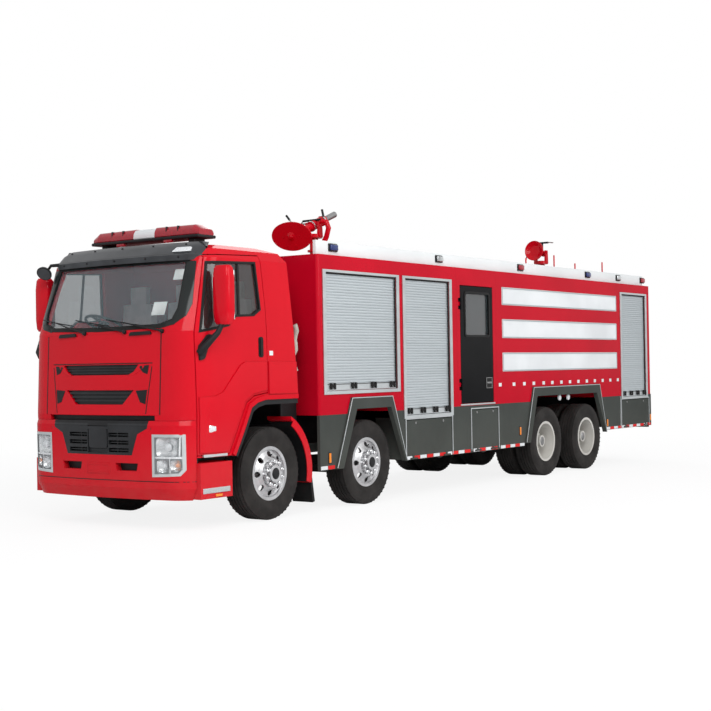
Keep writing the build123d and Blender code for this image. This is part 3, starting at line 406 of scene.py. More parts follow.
def add_turned(bm, profile, centre, axis, sides=48, index=0):
    """Body of revolution. The profile is (along the axis, radius), and its ends close on the axis."""
    axis = Vector(axis).normalized()
    across, up = square_axes(axis)
    rings = []
    for along, radius in profile:
        point = Vector(centre) + axis * along
        section = circle(point, across, up, radius, sides) if radius else [point]
        rings.append([bm.verts.new(p) for p in section])
    for one, two in zip(rings, rings[1:]):
        for s in range(sides):
            corners = [one[s % len(one)], one[(s + 1) % len(one)], two[(s + 1) % len(two)], two[s % len(two)]]
            corners = list(dict.fromkeys(corners))
            if len(corners) > 2:
                bm.faces.new(corners).material_index = index


def add_draped(bm, outline, place, depth, cell=0.06, index=0):
    """Closed slab over a surface. place turns (u, v, height) into a point, depth is (inner, outer)."""
    flat = bmesh.new()
    flat.faces.new([flat.verts.new((u, v, 0)) for u, v in outline])
    for k, normal in ((0, (1, 0, 0)), (1, (0, 1, 0))):
        low = min(p[k] for p in outline)
        high = max(p[k] for p in outline)
        steps = int((high - low) / cell)
        for step in range(1, steps + 1):
            at = [0, 0, 0]
            at[k] = low + (high - low) * step / (steps + 1)
            bmesh.ops.bisect_plane(flat, geom=flat.verts[:] + flat.edges[:] + flat.faces[:],
                                   plane_co=at, plane_no=normal, dist=1e-6)
    flat.verts.index_update()
    inner, outer = ([bm.verts.new(place(v.co.x, v.co.y, height)) for v in flat.verts] for height in depth)
    for face in flat.faces:
        ids = [v.index for v in face.verts]
        bm.faces.new([inner[i] for i in reversed(ids)]).material_index = index
        bm.faces.new([outer[i] for i in ids]).material_index = index
    for edge in flat.edges:
        if len(edge.link_faces) == 1:
            a, b = (v.index for v in edge.verts)
            bm.faces.new((inner[a], inner[b], outer[b], outer[a])).material_index = index
    flat.free()


def add_strip(bm, path, width, place, depth, closed=False, index=0, cell=0.06):
    """Ribbon of a width along a path on a surface, with mitred corners and fine steps."""
    fine = []
    count = len(path)
    for k in range(count if closed else count - 1):
        a, b = Vector(path[k]), Vector(path[(k + 1) % count])
        steps = max(1, int((b - a).length / cell))
        fine += [a + (b - a) * s / steps for s in range(steps)]
    if not closed:
        fine.append(Vector(path[-1]))
    sections = []
    total = len(fine)
    for k, point in enumerate(fine):
        ways = [(point - fine[k - 1]).normalized()] if closed or k else []
        ways += [(fine[(k + 1) % total] - point).normalized()] if closed or k < total - 1 else []
        normals = [Vector((-w.y, w.x)) for w in ways]
        normal = sum(normals, Vector((0, 0)))
        normal = normal.normalized() if normal.length > 1e-6 else normals[0]
        reach = width / 2 / max(0.4, normal.dot(normals[0]))
        left, right = point + normal * reach, point - normal * reach
        low, high = depth
        corners = ((left, low), (left, high), (right, high), (right, low))
        sections.append([place(p.x, p.y, height) for p, height in corners])
    add_loft(bm, sections, index, closed)


def add_level_strip(bm, z, half, width, place, depth, index=0):
    """Level ribbon across the truck, as long to the left as to the right."""
    add_strip(bm, [(-half, z), (half, z)], width, place, depth, index=index)


# Surfaces that pieces lie on. Cab and bumper plan outlines repeat the part's source, in metres:
# height, rear x, front x, half width, front bow, front corner radius
CAB_ROWS = (
    (0.755, 4.010, 5.870, 1.235, 0.110, 0.380),
    (1.200, 4.010, 5.887, 1.235, 0.110, 0.380),
    (2.060, 4.076, 5.850, 1.228, 0.115, 0.360),
    (2.830, 4.130, 5.560, 1.180, 0.110, 0.220),
    (2.930, 4.210, 5.450, 1.120, 0.100, 0.200),
    (2.985, 4.430, 5.240, 0.975, 0.070, 0.150),
)
BUMPER_ROWS = (
    (0.320, 5.4, 5.830, 1.200, 0.100, 0.340),
    (0.440, 5.4, 5.890, 1.235, 0.110, 0.380),
    (1.090, 5.4, 5.900, 1.235, 0.110, 0.380),
    (1.138, 5.4, 5.885, 1.230, 0.110, 0.380),
)


def row_at(rows, z):
    """Plan outline at a height, between the rows above and below it."""
    z = min(max(z, rows[0][0]), rows[-1][0])
    for low, high in zip(rows, rows[1:]):
        if z <= high[0]:
            t = (z - low[0]) / (high[0] - low[0])
            return [a + (b - a) * t for a, b in zip(low, high)]
    return list(rows[-1])


def face_x(rows, y, z):
    """x of the bowed front at a place across it."""
    _, _, front, half, bow, corner = row_at(rows, z)
    inner = half - corner
    if abs(y) <= inner:
        return front - bow * (y / half) ** 2
    shoulder = front - bow * (inner / half) ** 2
    out = min(abs(y) - inner, corner * 0.999)
    return shoulder - corner + math.sqrt(corner ** 2 - out ** 2)


def flank_y(rows, x, z):
    """Distance of the side from the middle plane at a place along it."""
    _, _, front, half, bow, corner = row_at(rows, z)
    inner = half - corner
    start = front - bow * (inner / half) ** 2 - corner
    if x <= start:
        return half
    out = min(x - start, corner * 0.999)
    return inner + math.sqrt(corner ** 2 - out ** 2)


def cab_face(y, z, height):
    """Point over the cab's front."""
    return Vector((face_x(CAB_ROWS, y, z) + height, y, z))


def bumper_face(y, z, height):
    """Point over the bumper's front."""
    return Vector((face_x(BUMPER_ROWS, y, z) + height, y, z))


def cab_flank(side):
    """Surface of the cab's side, as (x, z)."""
    return lambda x, z, height: Vector((x, side * (flank_y(CAB_ROWS, x, z) + height), z))


def bumper_flank(side):
    """Surface of the bumper's end, as (x, z)."""
    return lambda x, z, height: Vector((x, side * (flank_y(BUMPER_ROWS, x, z) + height), z))


def body_flank(side):
    """Flat side of the body, as (x, z)."""
    return lambda x, z, height: Vector((x, side * (SIDE_Y + height), z))



# Finish of the CAD nodes
NODE_MATERIALS = {
    "arch_trims": GREY, "axles": CHASSIS, "body_shell": BODY_RED, "body_skirts": GREY, "cab_door": RED,
    "cab_seats": SEAT_CLOTH, "cab_shell": RED, "cab_steps": RED_LOW, "chassis_frame": CHASSIS,
    "chassis_tanks": DULL, "dashboard": DARK, "engine_block": ENGINE, "front_bumper": RED_LOW,
    "front_grilles": GRILLE, "front_panel": RED, "knuckle": CHASSIS, "lamps": WHITE_LENS,
    "leaf_springs": CHASSIS, "light_bar": RED_LENS, "locker_flap": GREY, "mirror": RED,
    "monitor_barrel": RED, "monitor_head": RED, "monitor_risers": RED, "pump_door": BLACK,
    "rear_ladder": ALUMINIUM, "rim": STEEL, "rim_3": RIM_SILVER, "rim_4": RIM_SILVER,
    "roller_shutters": SHUTTER, "roof_parapet": WHITE, "shutter_frames": ALUMINIUM,
    "sun_visor": VISOR, "tyre": TYRE, "windscreen": GLASS,
}
for node_name, node in nodes.items():
    key = max((k for k in NODE_MATERIALS if node_name.startswith(k)), key=len)
    node.data.materials.clear()
    node.data.materials.append(NODE_MATERIALS[key])

# Tyres with tread blocks and a moulded sidewall, one object for each wheel

SINGLE_Y = 1.037
TWIN_Y = (0.755, 1.095)
TYRE_MIDDLES = {1: (SINGLE_Y,), 2: (SINGLE_Y,), 3: TWIN_Y, 4: TWIN_Y}
# Half outline of the tyre: radius, distance from its middle plane
SIDEWALL = ((0.288, 0.108), (0.296, 0.122), (0.318, 0.128), (0.345, 0.138), (0.375, 0.146), (0.400, 0.149),
            (0.430, 0.147), (0.455, 0.141), (0.476, 0.134), (0.484, 0.130), (0.500, 0.122))
# Tread ribs across the tyre: start, end, as distances from the middle plane
RIBS = ((-0.106, -0.070), (-0.062, -0.026), (-0.018, 0.018), (0.026, 0.062), (0.070, 0.106))
RIB_EDGE = 0.002
RIB_DROP = 0.001
GROOVE_DEPTH = 0.012
TURN_STEPS = 96
# Blocks on the tread's shoulders: distance from the middle plane, drop below the tread, half sizes
BLOCK_Y = 0.116
BLOCK_DROP = 0.020
BLOCK_HALF = (0.009, 0.012, 0.012)


def add_tyre(bm, x, middle):
    """Tyre of revolution with ribbed tread and shoulder blocks."""
    groove = TYRE_RADIUS - GROOVE_DEPTH
    crown = TYRE_RADIUS - RIB_DROP
    tread = []
    for start, end in reversed(RIBS):
        tread += [(end, groove), (end - RIB_EDGE, crown), (start + RIB_EDGE, crown), (start, groove)]
    outline = [(y, r) for r, y in SIDEWALL] + tread + [(-y, r) for r, y in reversed(SIDEWALL)]
    angles = [2 * math.pi * s / TURN_STEPS for s in range(TURN_STEPS)]
    add_loft(bm, [[(x + r * math.sin(a), middle + y, HUB_Z + r * math.cos(a)) for y, r in outline]
                  for a in angles], closed=True)
    for angle in angles[::2]:
        turn = Matrix.Rotation(angle + math.pi / TURN_STEPS, 3, "Y")
        for edge in (-BLOCK_Y, BLOCK_Y):
            spot = turn @ Vector((0, edge, TYRE_RADIUS - BLOCK_DROP)) + Vector((x, middle, HUB_Z))
            add_block(bm, spot, BLOCK_HALF, turn=turn)


for number, middles in TYRE_MIDDLES.items():
    for side, side_name in SIDES:
        bm = bmesh.new()
        for middle in middles:
            add_tyre(bm, AXLES_X[number - 1], side * middle)
        tyre = finished(f"road_tyre_{number}_{side_name}", bm, TYRE, f"wheel_{number}_{side_name}",
                        smooth=True)
        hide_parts(f"tyre_{number}_{side_name}")

# Hubs: nut rings, caps and valve stems on the rims
NUT_COUNT = 10
NUT_CIRCLE = 0.1325
NUT = ((0, 0), (0, 0.019), (0.018, 0.019), (0.022, 0.013), (0.034, 0.012), (0.036, 0))
HUB_CAP = ((-0.01, 0.07), (0.004, 0.07), (0.012, 0.064), (0.016, 0.05), (0.022, 0.045), (0.024, 0))
# Distances of the rim's face and of the cap from the middle plane, and the finishes
STEERED_HUB = (1.187, 1.230, [CHROME, DARK, DARK])
DRIVEN_HUB = (0.945, 1.145, [STEEL, DULL, DARK])
for number, x in enumerate(AXLES_X, start=1):
    face_y, cap_y, finishes = STEERED_HUB if number < 3 else DRIVEN_HUB
    for side, side_name in SIDES:
        outward = (0, side, 0)
        bm = bmesh.new()
        for nut in range(NUT_COUNT):
            angle = 2 * math.pi * nut / NUT_COUNT
            dx, dz = NUT_CIRCLE * math.sin(angle), NUT_CIRCLE * math.cos(angle)
            add_turned(bm, NUT, (x + dx, side * (face_y + 0.028), HUB_Z + dz), outward, sides=12)
        add_turned(bm, HUB_CAP, (x, side * cap_y, HUB_Z), outward, sides=40, index=1)
        add_tube(bm, [(x + 0.03, side * (face_y + 0.01), HUB_Z + 0.20),
                      (x + 0.035, side * (face_y + 0.035), HUB_Z + 0.215)], 0.006, index=2)
        finished(f"hub_{number}_{side_name}", bm, finishes, f"wheel_{number}_{side_name}", smooth=True)

# Roller shutters: slats, side and top seals, bottom bar with latches
# Curtain: front x, rear x, bottom z, top z
SHUTTERS = ((3.505, 2.040, 1.385, 2.760), (1.840, 0.780, 1.040, 2.760), (-4.670, -5.630, 1.090, 2.787))
REAR_CURTAIN_HALF = 0.698
REAR_CURTAIN_Z = (1.250, 2.700)
SLAT = 0.033
BAR_HEIGHT = 0.085
CURTAIN_INSET = 0.016
CURTAIN_BACK = -0.030
# Latches along the bottom bar, as shares of its length from its middle
LATCH_SHARES = (-0.43, -0.15, 0.13, 0.42)


def add_slats(bm, start, end, low, high, place):
    """Curtain of convex slats as one folded strip with a back."""
    count = round((high - low) / SLAT)
    pitch = (high - low) / count
    profile = []
    for k in range(count):
        z = low + k * pitch
        profile += [(z, -0.006), (z + 0.0025, -0.002), (z + pitch * 0.3, 0.0), (z + pitch * 0.7, 0.0),
                    (z + pitch - 0.0025, -0.002)]
    profile.append((high, -0.006))
    one, two = ([bm.verts.new(place(u, z, h)) for z, h in profile] for u in (start, end))
    for k in range(len(profile) - 1):
        bm.faces.new((one[k], two[k], two[k + 1], one[k + 1]))
    corners = [(start, low), (start, high), (end, high), (end, low)]
    bm.faces.new([bm.verts.new(place(u, z, CURTAIN_BACK)) for u, z in corners])


def recessed_flank(side):
    """Surface that shutters lie in, set back in the flank, as (x, z)."""
    return lambda x, z, height: Vector((x, side * (SIDE_Y - CURTAIN_INSET + height), z))


def rear_face(y, z, height):
    """Point over the body's back."""
    return Vector((BODY_REAR_X + 0.011 - height, y, z))


bm = bmesh.new()
for side, _ in SIDES:
    for front, rear, low, high in SHUTTERS:
        add_slats(bm, front - 0.002, rear + 0.002, low + BAR_HEIGHT, high, recessed_flank(side))
        add_flank_box(bm, side, (rear + 0.004, front - 0.004), (-0.046, -0.006),
                      (low + 0.002, low + BAR_HEIGHT), bevel=0.006, index=1)
        for edge in (front - 0.010, rear + 0.010):
            add_flank_box(bm, side, around(edge, 0.010), (-0.040, -0.002), (low, high), bevel=0.003, index=2)
        add_flank_box(bm, side, (rear, front), (-0.040, -0.002), (high - 0.022, high), bevel=0.003, index=2)
        add_flank_box(bm, side, (rear + 0.02, front - 0.02), (-0.012, 0.001), (low + 0.072, low + 0.080),
                      index=2)
        for share in LATCH_SHARES:
            spot = (front + rear) / 2 + (front - rear) * share
            add_flank_box(bm, side, around(spot, 0.055), (-0.020, 0.008), (low + 0.040, low + 0.070),
                          bevel=0.005, index=2)
            for end in (-0.040, 0.030):
                add_flank_box(bm, side, around(spot + end, 0.014), (-0.020, 0.014),
                              (low + 0.016, low + 0.092), bevel=0.006, index=2)
low, high = REAR_CURTAIN_Z
add_slats(bm, -REAR_CURTAIN_HALF, REAR_CURTAIN_HALF, low + BAR_HEIGHT, high, rear_face)
add_box(bm, (BODY_REAR_X + 0.004, -REAR_CURTAIN_HALF, low + 0.002),
        (BODY_REAR_X + 0.044, REAR_CURTAIN_HALF, low + BAR_HEIGHT), bevel=0.006, index=1)
shutters = finished("shutter_curtains", bm, [SHUTTER, ALUMINIUM, RUBBER], "truck", smooth=True, angle=20)
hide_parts("roller_shutters")

# White stripe panels with light edging, reflective patches and edge tape on the flanks
STRIPES_Z = ((2.495, 2.745), (2.030, 2.295), (1.560, 1.825))
STRIPE_X = (-0.64, -4.46)
PATCHES_X = (-0.56, -0.96, -1.27, -1.56, -1.87, -2.15, -2.45, -2.74, -3.03, -3.33, -3.62, -3.91, -4.20, -4.49)
# Edge tape: front x, rear x, bottom z
TAPE_RUNS = ((3.640, 3.365, 0.485), (1.850, 0.28, 0.485), (0.20, -0.46, 0.485), (-0.55, -1.25, 0.485),
             (-4.02, -5.82, 0.580))
TAPE_STEP = 0.15
TAPE_SHARE = 0.94
TAPE_OUT = (-0.001, 0.002)
bm = bmesh.new()
for side, _ in SIDES:
    place = body_flank(side)
    for low, high in STRIPES_Z:
        panel = rounded_outline(frame_of(STRIPE_X, (low, high)), 0.012)
        add_draped(bm, panel, place, (-0.001, 0.004), cell=1)
        edging = frame_of((STRIPE_X[0] - 0.012, STRIPE_X[1] + 0.012), (low + 0.012, high - 0.012))
        add_strip(bm, edging, 0.016, place, (0.003, 0.010), closed=True, cell=1, index=2)
    for x in PATCHES_X:
        add_flank_box(bm, side, around(x, 0.038), TAPE_OUT, (1.352, 1.400))
    for front, rear, low in TAPE_RUNS:
        count = max(1, round((front - rear) / TAPE_STEP))
        for k in range(count):
            start = front + (rear - front) * k / count
            end = front + (rear - front) * (k + TAPE_SHARE) / count
            add_flank_box(bm, side, (end, start), TAPE_OUT, (low, low + 0.042), index=k % 2)
finished("flank_markings", bm, [TAPE_WHITE, TAPE_RED, SHUTTER], "truck")

# Skirt edging: light frames round the lockers, arch edges and the lines on the skirt
# Locker: front x, rear x, bottom z, top z
LOCKERS = ((1.850, 0.750, 0.495, 0.985), (0.240, -0.490, 0.505, 1.060), (-4.620, -5.735, 0.600, 1.047))
# Outer edges of the arch trims, which stand proud of the flank
ARCH_EDGES = (((3.346, 0.490), (3.031, 1.294), (2.182, 1.294), (1.876, 0.490)),
              ((-1.274, 0.530), (-1.522, 1.316), (-3.748, 1.316), (-3.987, 0.560)))
ARCH_PROUD = 0.025
LOCKER_LATCH = ((0, 0.0), (0, 0.016), (0.004, 0.016), (0.006, 0.012), (0.006, 0))
bm = bmesh.new()
for side, _ in SIDES:
    place = body_flank(side)
    for front, rear, low, high in LOCKERS:
        (x0, x1), top = (front + 0.010, rear - 0.010), high + 0.010
        add_strip(bm, [(x0, low), (x0, top), (x1, top), (x1, low)], 0.016, place, (0, 0.006), cell=1)
    for arch in ARCH_EDGES:
        add_strip(bm, arch, 0.010, place, (ARCH_PROUD - 0.004, ARCH_PROUD + 0.003), cell=1)
    add_strip(bm, [(0.52, 1.128), (-0.40, 1.128)], 0.02, place, (0, 0.010), cell=1)
    add_strip(bm, [(-4.58, 0.585), (-4.58, 1.105)], 0.012, place, (0, 0.005), cell=1)
finished("skirt_edging", bm, ALUMINIUM, "truck")
for number, (front, rear, _, high) in enumerate(LOCKERS, start=1):
    for side, side_name in SIDES:
        bm = bmesh.new()
        for share in (-0.3, 0.3):
            spot = (front + rear) / 2 + (front - rear) * share
            z = high - 0.045
            add_turned(bm, LOCKER_LATCH, (spot, side * (SIDE_Y - 0.0005), z), (0, side, 0), sides=20)
            add_flank_box(bm, side, around(spot, 0.003), (0, 0.009), around(z, 0.010), bevel=0.0015)
        finished(f"flap_latches_{number}_{side_name}", bm, DULL, f"locker_flap_{number}_{side_name}",
                 smooth=True)

# Pump-room doors: glass, seal, recessed handle and hinge covers
PUMP_WINDOW = rounded_outline(frame_of((0.375, -0.275), (2.050, 2.635)), 0.04)
HANDLE_CUP = rounded_outline(frame_of((-0.330, -0.170), (1.335, 1.485)), 0.02)
HINGE_X, HINGE_Y = 0.500, 1.264
HINGE_RADIUS = 0.0118
# Hinge sleeves above and below the door's own knuckle: bottom and top, from the hinge's middle
SLEEVES = ((-0.076, -0.0275), (0.0275, 0.076))
for side, side_name in SIDES:
    place = body_flank(side)
    bm = bmesh.new()
    add_draped(bm, PUMP_WINDOW, place, (-0.030, -0.022), cell=1)
    finished(f"pump_door_glass_{side_name}", bm, DOOR_GLASS, f"pump_door_{side_name}")
    bm = bmesh.new()
    add_strip(bm, PUMP_WINDOW, 0.03, place, (-0.002, 0.008), closed=True, cell=0.2)
    add_draped(bm, HANDLE_CUP, place, (0.0, 0.004), cell=1)
    add_strip(bm, frame_of((-0.325, -0.175), (1.340, 1.480)), 0.008, place, (0.003, 0.007), closed=True,
              cell=1, index=1)
    add_flank_box(bm, side, (-0.310, -0.190), (0, 0.014), (1.40, 1.425), bevel=0.006, index=1)
    finished(f"pump_door_trim_{side_name}", bm, [RUBBER, DULL], f"pump_door_{side_name}", smooth=True)
    bm = bmesh.new()
    for z in (1.400, 2.480):
        for low, high in SLEEVES:
            sleeve = ((0, 0), (0, HINGE_RADIUS), (high - low, HINGE_RADIUS), (high - low, 0))
            add_turned(bm, sleeve, (HINGE_X, side * HINGE_Y, z + low), (0, 0, 1), sides=20)
            add_side_box(bm, side, (0.496, 0.546), (1.2495, 1.2538), (z + low, z + high))
    finished(f"pump_hinge_covers_{side_name}", bm, BLACK, "truck", smooth=True)

# Lamps on the truck: parapet, flanks, tail and headlamps, which stand for the CAD lamp node
LAMP_MATERIALS = [WHITE_LENS, RED_LENS, BLUE_LENS, AMBER_LENS, CHROME, DARK, REFLECTOR, LAMP_BACK, ALUMINIUM]
CLEAR_ONE, RED_ONE, BLUE_ONE, AMBER_ONE, BRIGHT, BASE, BOWL, BACK, EDGING = range(len(LAMP_MATERIALS))
PARAPET_Y = SIDE_Y - 0.085
# Parapet lamp: x, which material
PARAPET_LAMPS = ((3.24, BLUE_ONE), (0.89, BOWL), (-1.35, RED_ONE), (-3.58, BLUE_ONE), (-4.74, BOWL),
                 (-5.72, RED_ONE))
# Side lamp: x, z
SIDE_LAMPS = ((3.472, 0.616), (-1.116, 0.703), (-4.050, 0.691), (-5.790, 0.711))
# Tail lamp: z, which material
TAIL_LAMPS = ((0.80, RED_ONE), (0.91, CLEAR_ONE), (1.02, AMBER_ONE))
ARCH_LAMPS_X = (-2.44, -2.73)
ARCH_LAMP = ((0, 0), (0.0, 0.045), (0.018, 0.045), (0.026, 0.035), (0.030, 0))
# Headlamp outline on the bumper's face, as (y, z)
HEADLAMP = ((0.765, 0.985), (1.100, 0.985), (1.100, 0.640), (1.060, 0.590), (0.760, 0.576))
# Divider between the headlamp's fields: ends, width, height of its outer face, material
DIVIDERS = (
    (((0.780, 0.762), (1.092, 0.762)), 0.020, -0.006, BRIGHT),
    (((1.060, 0.975), (1.050, 0.775)), 0.016, -0.016, BRIGHT),
    (((0.950, 0.755), (0.950, 0.600)), 0.010, -0.020, BRIGHT),
)
# Reflector bowl: y, z, half width, half height, which lens
BOWLS = ((0.915, 0.868, 0.125, 0.095, CLEAR_ONE), (0.865, 0.674, 0.070, 0.066, CLEAR_ONE),
         (1.015, 0.682, 0.052, 0.060, AMBER_ONE))
# Section of a bowl: share of its half sizes, depth
BOWL_SECTIONS = ((1.0, -0.012), (0.86, -0.034), (0.62, -0.052), (0.34, -0.062))


def lamp_face(side):
    """Surface of the bumper's front on one side, as (y outward, z)."""
    return lambda y, z, height: bumper_face(side * y, z, height)


def add_bowl(bm, face, y, z, half_y, half_z, colour):
    """Reflector bowl with its bulb lens."""
    sections = []
    for share, depth in BOWL_SECTIONS:
        wide, tall = half_y * share, half_z * share
        corners = [(y + wide, z + tall), (y - wide, z + tall), (y - wide, z - tall), (y + wide, z - tall)]
        sections.append([face(*point, depth) for point in rounded_outline(corners, 0.05 * share, steps=4)])
    rings = add_loft(bm, sections, BOWL, caps=False)
    bm.faces.new(rings[-1]).material_index = BOWL
    size = min(half_y, half_z) * 0.42
    bulb = ((0.0, size), (0.018, size), (0.032, size * 0.6), (0.036, 0))
    add_turned(bm, bulb, face(y, z, -0.060), (1, 0, 0), sides=24, index=colour)


bm = bmesh.new()
for side, _ in SIDES:
    for x, colour in PARAPET_LAMPS:
        add_side_box(bm, side, around(x, 0.085), (PARAPET_Y, PARAPET_Y + 0.016), (3.010, 3.105), bevel=0.006,
                     index=BASE)
        add_side_box(bm, side, around(x, 0.070), (PARAPET_Y + 0.012, PARAPET_Y + 0.040), (3.024, 3.092),
                     bevel=0.010, index=colour, segments=3)
    for x, z in SIDE_LAMPS:
        add_flank_box(bm, side, around(x, 0.024), (0, 0.006), around(z, 0.064), bevel=0.003, index=BASE)
        add_flank_box(bm, side, around(x, 0.018), (0.004, 0.016), around(z, 0.056), bevel=0.006,
                      index=AMBER_ONE)
    low_x = BODY_REAR_X - 0.024
    add_side_box(bm, side, (low_x + 0.006, BODY_REAR_X + 0.003), (0.945, 1.155), (0.735, 1.085), bevel=0.008,
                 index=BASE)
    for z, colour in TAIL_LAMPS:
        add_side_box(bm, side, (low_x, low_x + 0.010), (0.960, 1.140), around(z, 0.050), bevel=0.004,
                     index=colour)
    for x in ARCH_LAMPS_X:
        add_turned(bm, ARCH_LAMP, (x, side * (SIDE_Y - 0.041), 1.145), (0, side, 0), sides=24,
                   index=CLEAR_ONE)
    face = lamp_face(side)
    add_draped(bm, HEADLAMP, face, (-0.078, -0.066), index=BACK)
    add_strip(bm, HEADLAMP, 0.030, face, (-0.07, 0.003), closed=True, index=EDGING)
    for ends, width, height, index in DIVIDERS:
        add_strip(bm, ends, width, face, (-0.07, height), index=index)
    for bowl in BOWLS:
        add_bowl(bm, face, *bowl)
lamp_set = finished("lamp_set", bm, LAMP_MATERIALS, "truck", smooth=True)
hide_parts("lamps")
bm = bmesh.new()
for side, _ in SIDES:
    add_draped(bm, HEADLAMP, lamp_face(side), (-0.006, 0.0), cell=0.04)
finished("headlamp_covers", bm, CLEAR, "truck", smooth=True)

# Cab sides, as (x, z): glass and trims on the doors, swages, arch lips, steps and mud flaps
CAB_WINDOW = ((5.590, 2.052), (5.420, 2.775), (4.690, 2.800), (4.645, 2.299), (4.760, 2.235), (5.055, 2.220),
              (5.180, 2.120))
ARCH_LIP = ((5.150, 0.760), (5.000, 1.020), (4.871, 1.262), (4.760, 1.318), (4.620, 1.346), (4.040, 1.346))
# Black edge inside the arch lip
ARCH_LINER = ((5.105, 0.750), (4.955, 1.000), (4.835, 1.220), (4.740, 1.270), (4.610, 1.298), (4.040, 1.298))
# Raised lower panel of the door and of the cab's rear side, below the crease
DOOR_SWAGE = ((5.625, 0.800), (5.625, 1.375), (5.417, 1.385), (5.300, 1.420), (5.012, 1.700), (4.930, 1.735),
              (4.570, 1.737), (4.570, 1.425), (4.810, 1.390), (4.945, 1.315), (5.235, 0.800))
REAR_SWAGE = ((4.540, 1.737), (4.052, 1.730), (4.034, 1.372), (4.540, 1.378))
SWAGE_DEPTH = (-0.002, 0.012)
# Door handle: cup and grip
DOOR_CUP = rounded_outline(frame_of((4.620, 4.700), (1.780, 2.000)), 0.03)
DOOR_GRIP = rounded_outline(frame_of((4.640, 4.680), (1.800, 1.985)), 0.015)
MUD_FLAP = ((-0.655, 0.45), (-0.69, 0.45), (-0.74, 0.14), (-0.70, 0.13))
MUD_FLAP_Y = 0.92
MUD_FLAP_WIDTH = 0.29


def flap_face(side):
    """Upright plane at the inner edge of a mud flap, as (x, z)."""
    return lambda x, z, height: Vector((x, side * (MUD_FLAP_Y + height), z))


for side, side_name in SIDES:
    place = cab_flank(side)
    door = f"cab_door_{side_name}"
    bm = bmesh.new()
    add_draped(bm, CAB_WINDOW, place, (-0.026, -0.020))
    finished(f"cab_window_{side_name}", bm, SIDE_GLASS, door, smooth=True)
    bm = bmesh.new()
    add_strip(bm, CAB_WINDOW, 0.024, place, (-0.030, 0.004), closed=True)
    add_strip(bm, [(4.99, 2.23), (4.96, 2.79)], 0.030, place, (-0.018, -0.008))
    add_draped(bm, DOOR_CUP, place, (-0.002, 0.005), cell=0.3)
    add_draped(bm, DOOR_GRIP, place, (0.004, 0.016), cell=0.3)
    finished(f"cab_door_trim_{side_name}", bm, RUBBER, door, smooth=True)
    bm = bmesh.new()
    add_draped(bm, DOOR_SWAGE, place, SWAGE_DEPTH)
    finished(f"door_swage_{side_name}", bm, RED_EDGE, door)
    bm = bmesh.new()
    add_draped(bm, REAR_SWAGE, place, SWAGE_DEPTH)
    finished(f"rear_swage_{side_name}", bm, RED_EDGE, "truck")
    bm = bmesh.new()
    add_draped(bm, frame_of((4.455, 4.515), (1.800, 1.850)), place, (-0.001, 0.002))
    finished(f"cab_blank_plate_{side_name}", bm, TAPE_WHITE, "truck")
    # Dark strip in the gap at the bumper's rear end: painted shade
    bm = bmesh.new()
    add_strip(bm, [(5.642, 0.345), (5.642, 0.745)], 0.016, place, (-0.02, -0.002))
    finished(f"bumper_gap_painted_shade_{side_name}", bm, DARK, "truck")
    bm = bmesh.new()
    add_strip(bm, ARCH_LIP, 0.050, place, (-0.020, 0.022))
    finished(f"arch_lip_{side_name}", bm, RED, "truck", smooth=True)
    bm = bmesh.new()
    add_strip(bm, ARCH_LINER, 0.060, place, (-0.30, 0.006))
    finished(f"arch_liner_{side_name}", bm, DARK, "truck", smooth=True)
    bm = bmesh.new()
    add_side_box(bm, side, (5.235, 5.60), (1.205, 1.236), (0.756, 0.786), bevel=0.004)
    for k in range(12):
        x = 5.25 + k * 0.03
        add_side_box(bm, side, (x, x + 0.012), (1.12, 1.228), (0.781, 0.786), bevel=0.001)
    add_side_box(bm, side, (5.20, 5.62), (1.215, 1.236), (0.385, 0.440), bevel=0.004)
    for k in range(14):
        x = 5.215 + k * 0.028
        add_side_box(bm, side, (x, x + 0.010), (1.234, 1.240), (0.39, 0.435), bevel=0.002)
    finished(f"step_treads_{side_name}", bm, ALUMINIUM, "truck")
    bm = bmesh.new()
    spot = place(5.47, 1.047, 0)
    add_block(bm, spot, (0.055, 0.012, 0.038), bevel=0.010, index=1)
    add_block(bm, spot, (0.045, 0.020, 0.028), bevel=0.012)
    finished(f"side_repeater_{side_name}", bm, [WHITE_LENS, CHROME], door, smooth=True)
    bm = bmesh.new()
    add_side_box(bm, side, (5.33, 5.43), (1.228, 1.242), (0.345, 0.372), bevel=0.005)
    finished(f"step_lamps_{side_name}", bm, AMBER_LENS, "truck")
    bm = bmesh.new()
    add_side_box(bm, side, (5.222, 5.608), (1.200, 1.229), (0.432, 0.668), bevel=0.004)
    finished(f"step_panel_{side_name}", bm, RED_LOW, "truck")
    bm = bmesh.new()
    outline = [(AXLES_X[0] + dx, z) for dx, z in MUD_FLAP]
    add_draped(bm, outline, flap_face(side), (0.0, MUD_FLAP_WIDTH), cell=1)
    finished(f"mud_flap_{side_name}", bm, RUBBER, "truck")

# Front mudguards: dark lining under the guard and the red flange along its outer edge
# Section of the lining and of the flange: radius round the wheel, distance from the middle plane
LINING = ((0.645, 0.872), (0.645, 1.205), (0.657, 1.205), (0.657, 0.872))
FLANGE = ((0.600, 1.206), (0.600, 1.217), (0.690, 1.217), (0.690, 1.206))
GUARD_SWEEP = (112, 196)
GUARD_STEPS = 24
# The guard keeps to what lies above this height and behind this x
GUARD_LOW_Z = 0.365
GUARD_FRONT_X = 4.135


def guard_section(section, angle, side):
    """Section of the guard at an angle round the wheel."""
    way = Vector((math.cos(angle), 0, math.sin(angle)))
    return [Vector((AXLES_X[0], side * y, HUB_Z)) + way * radius for radius, y in section]


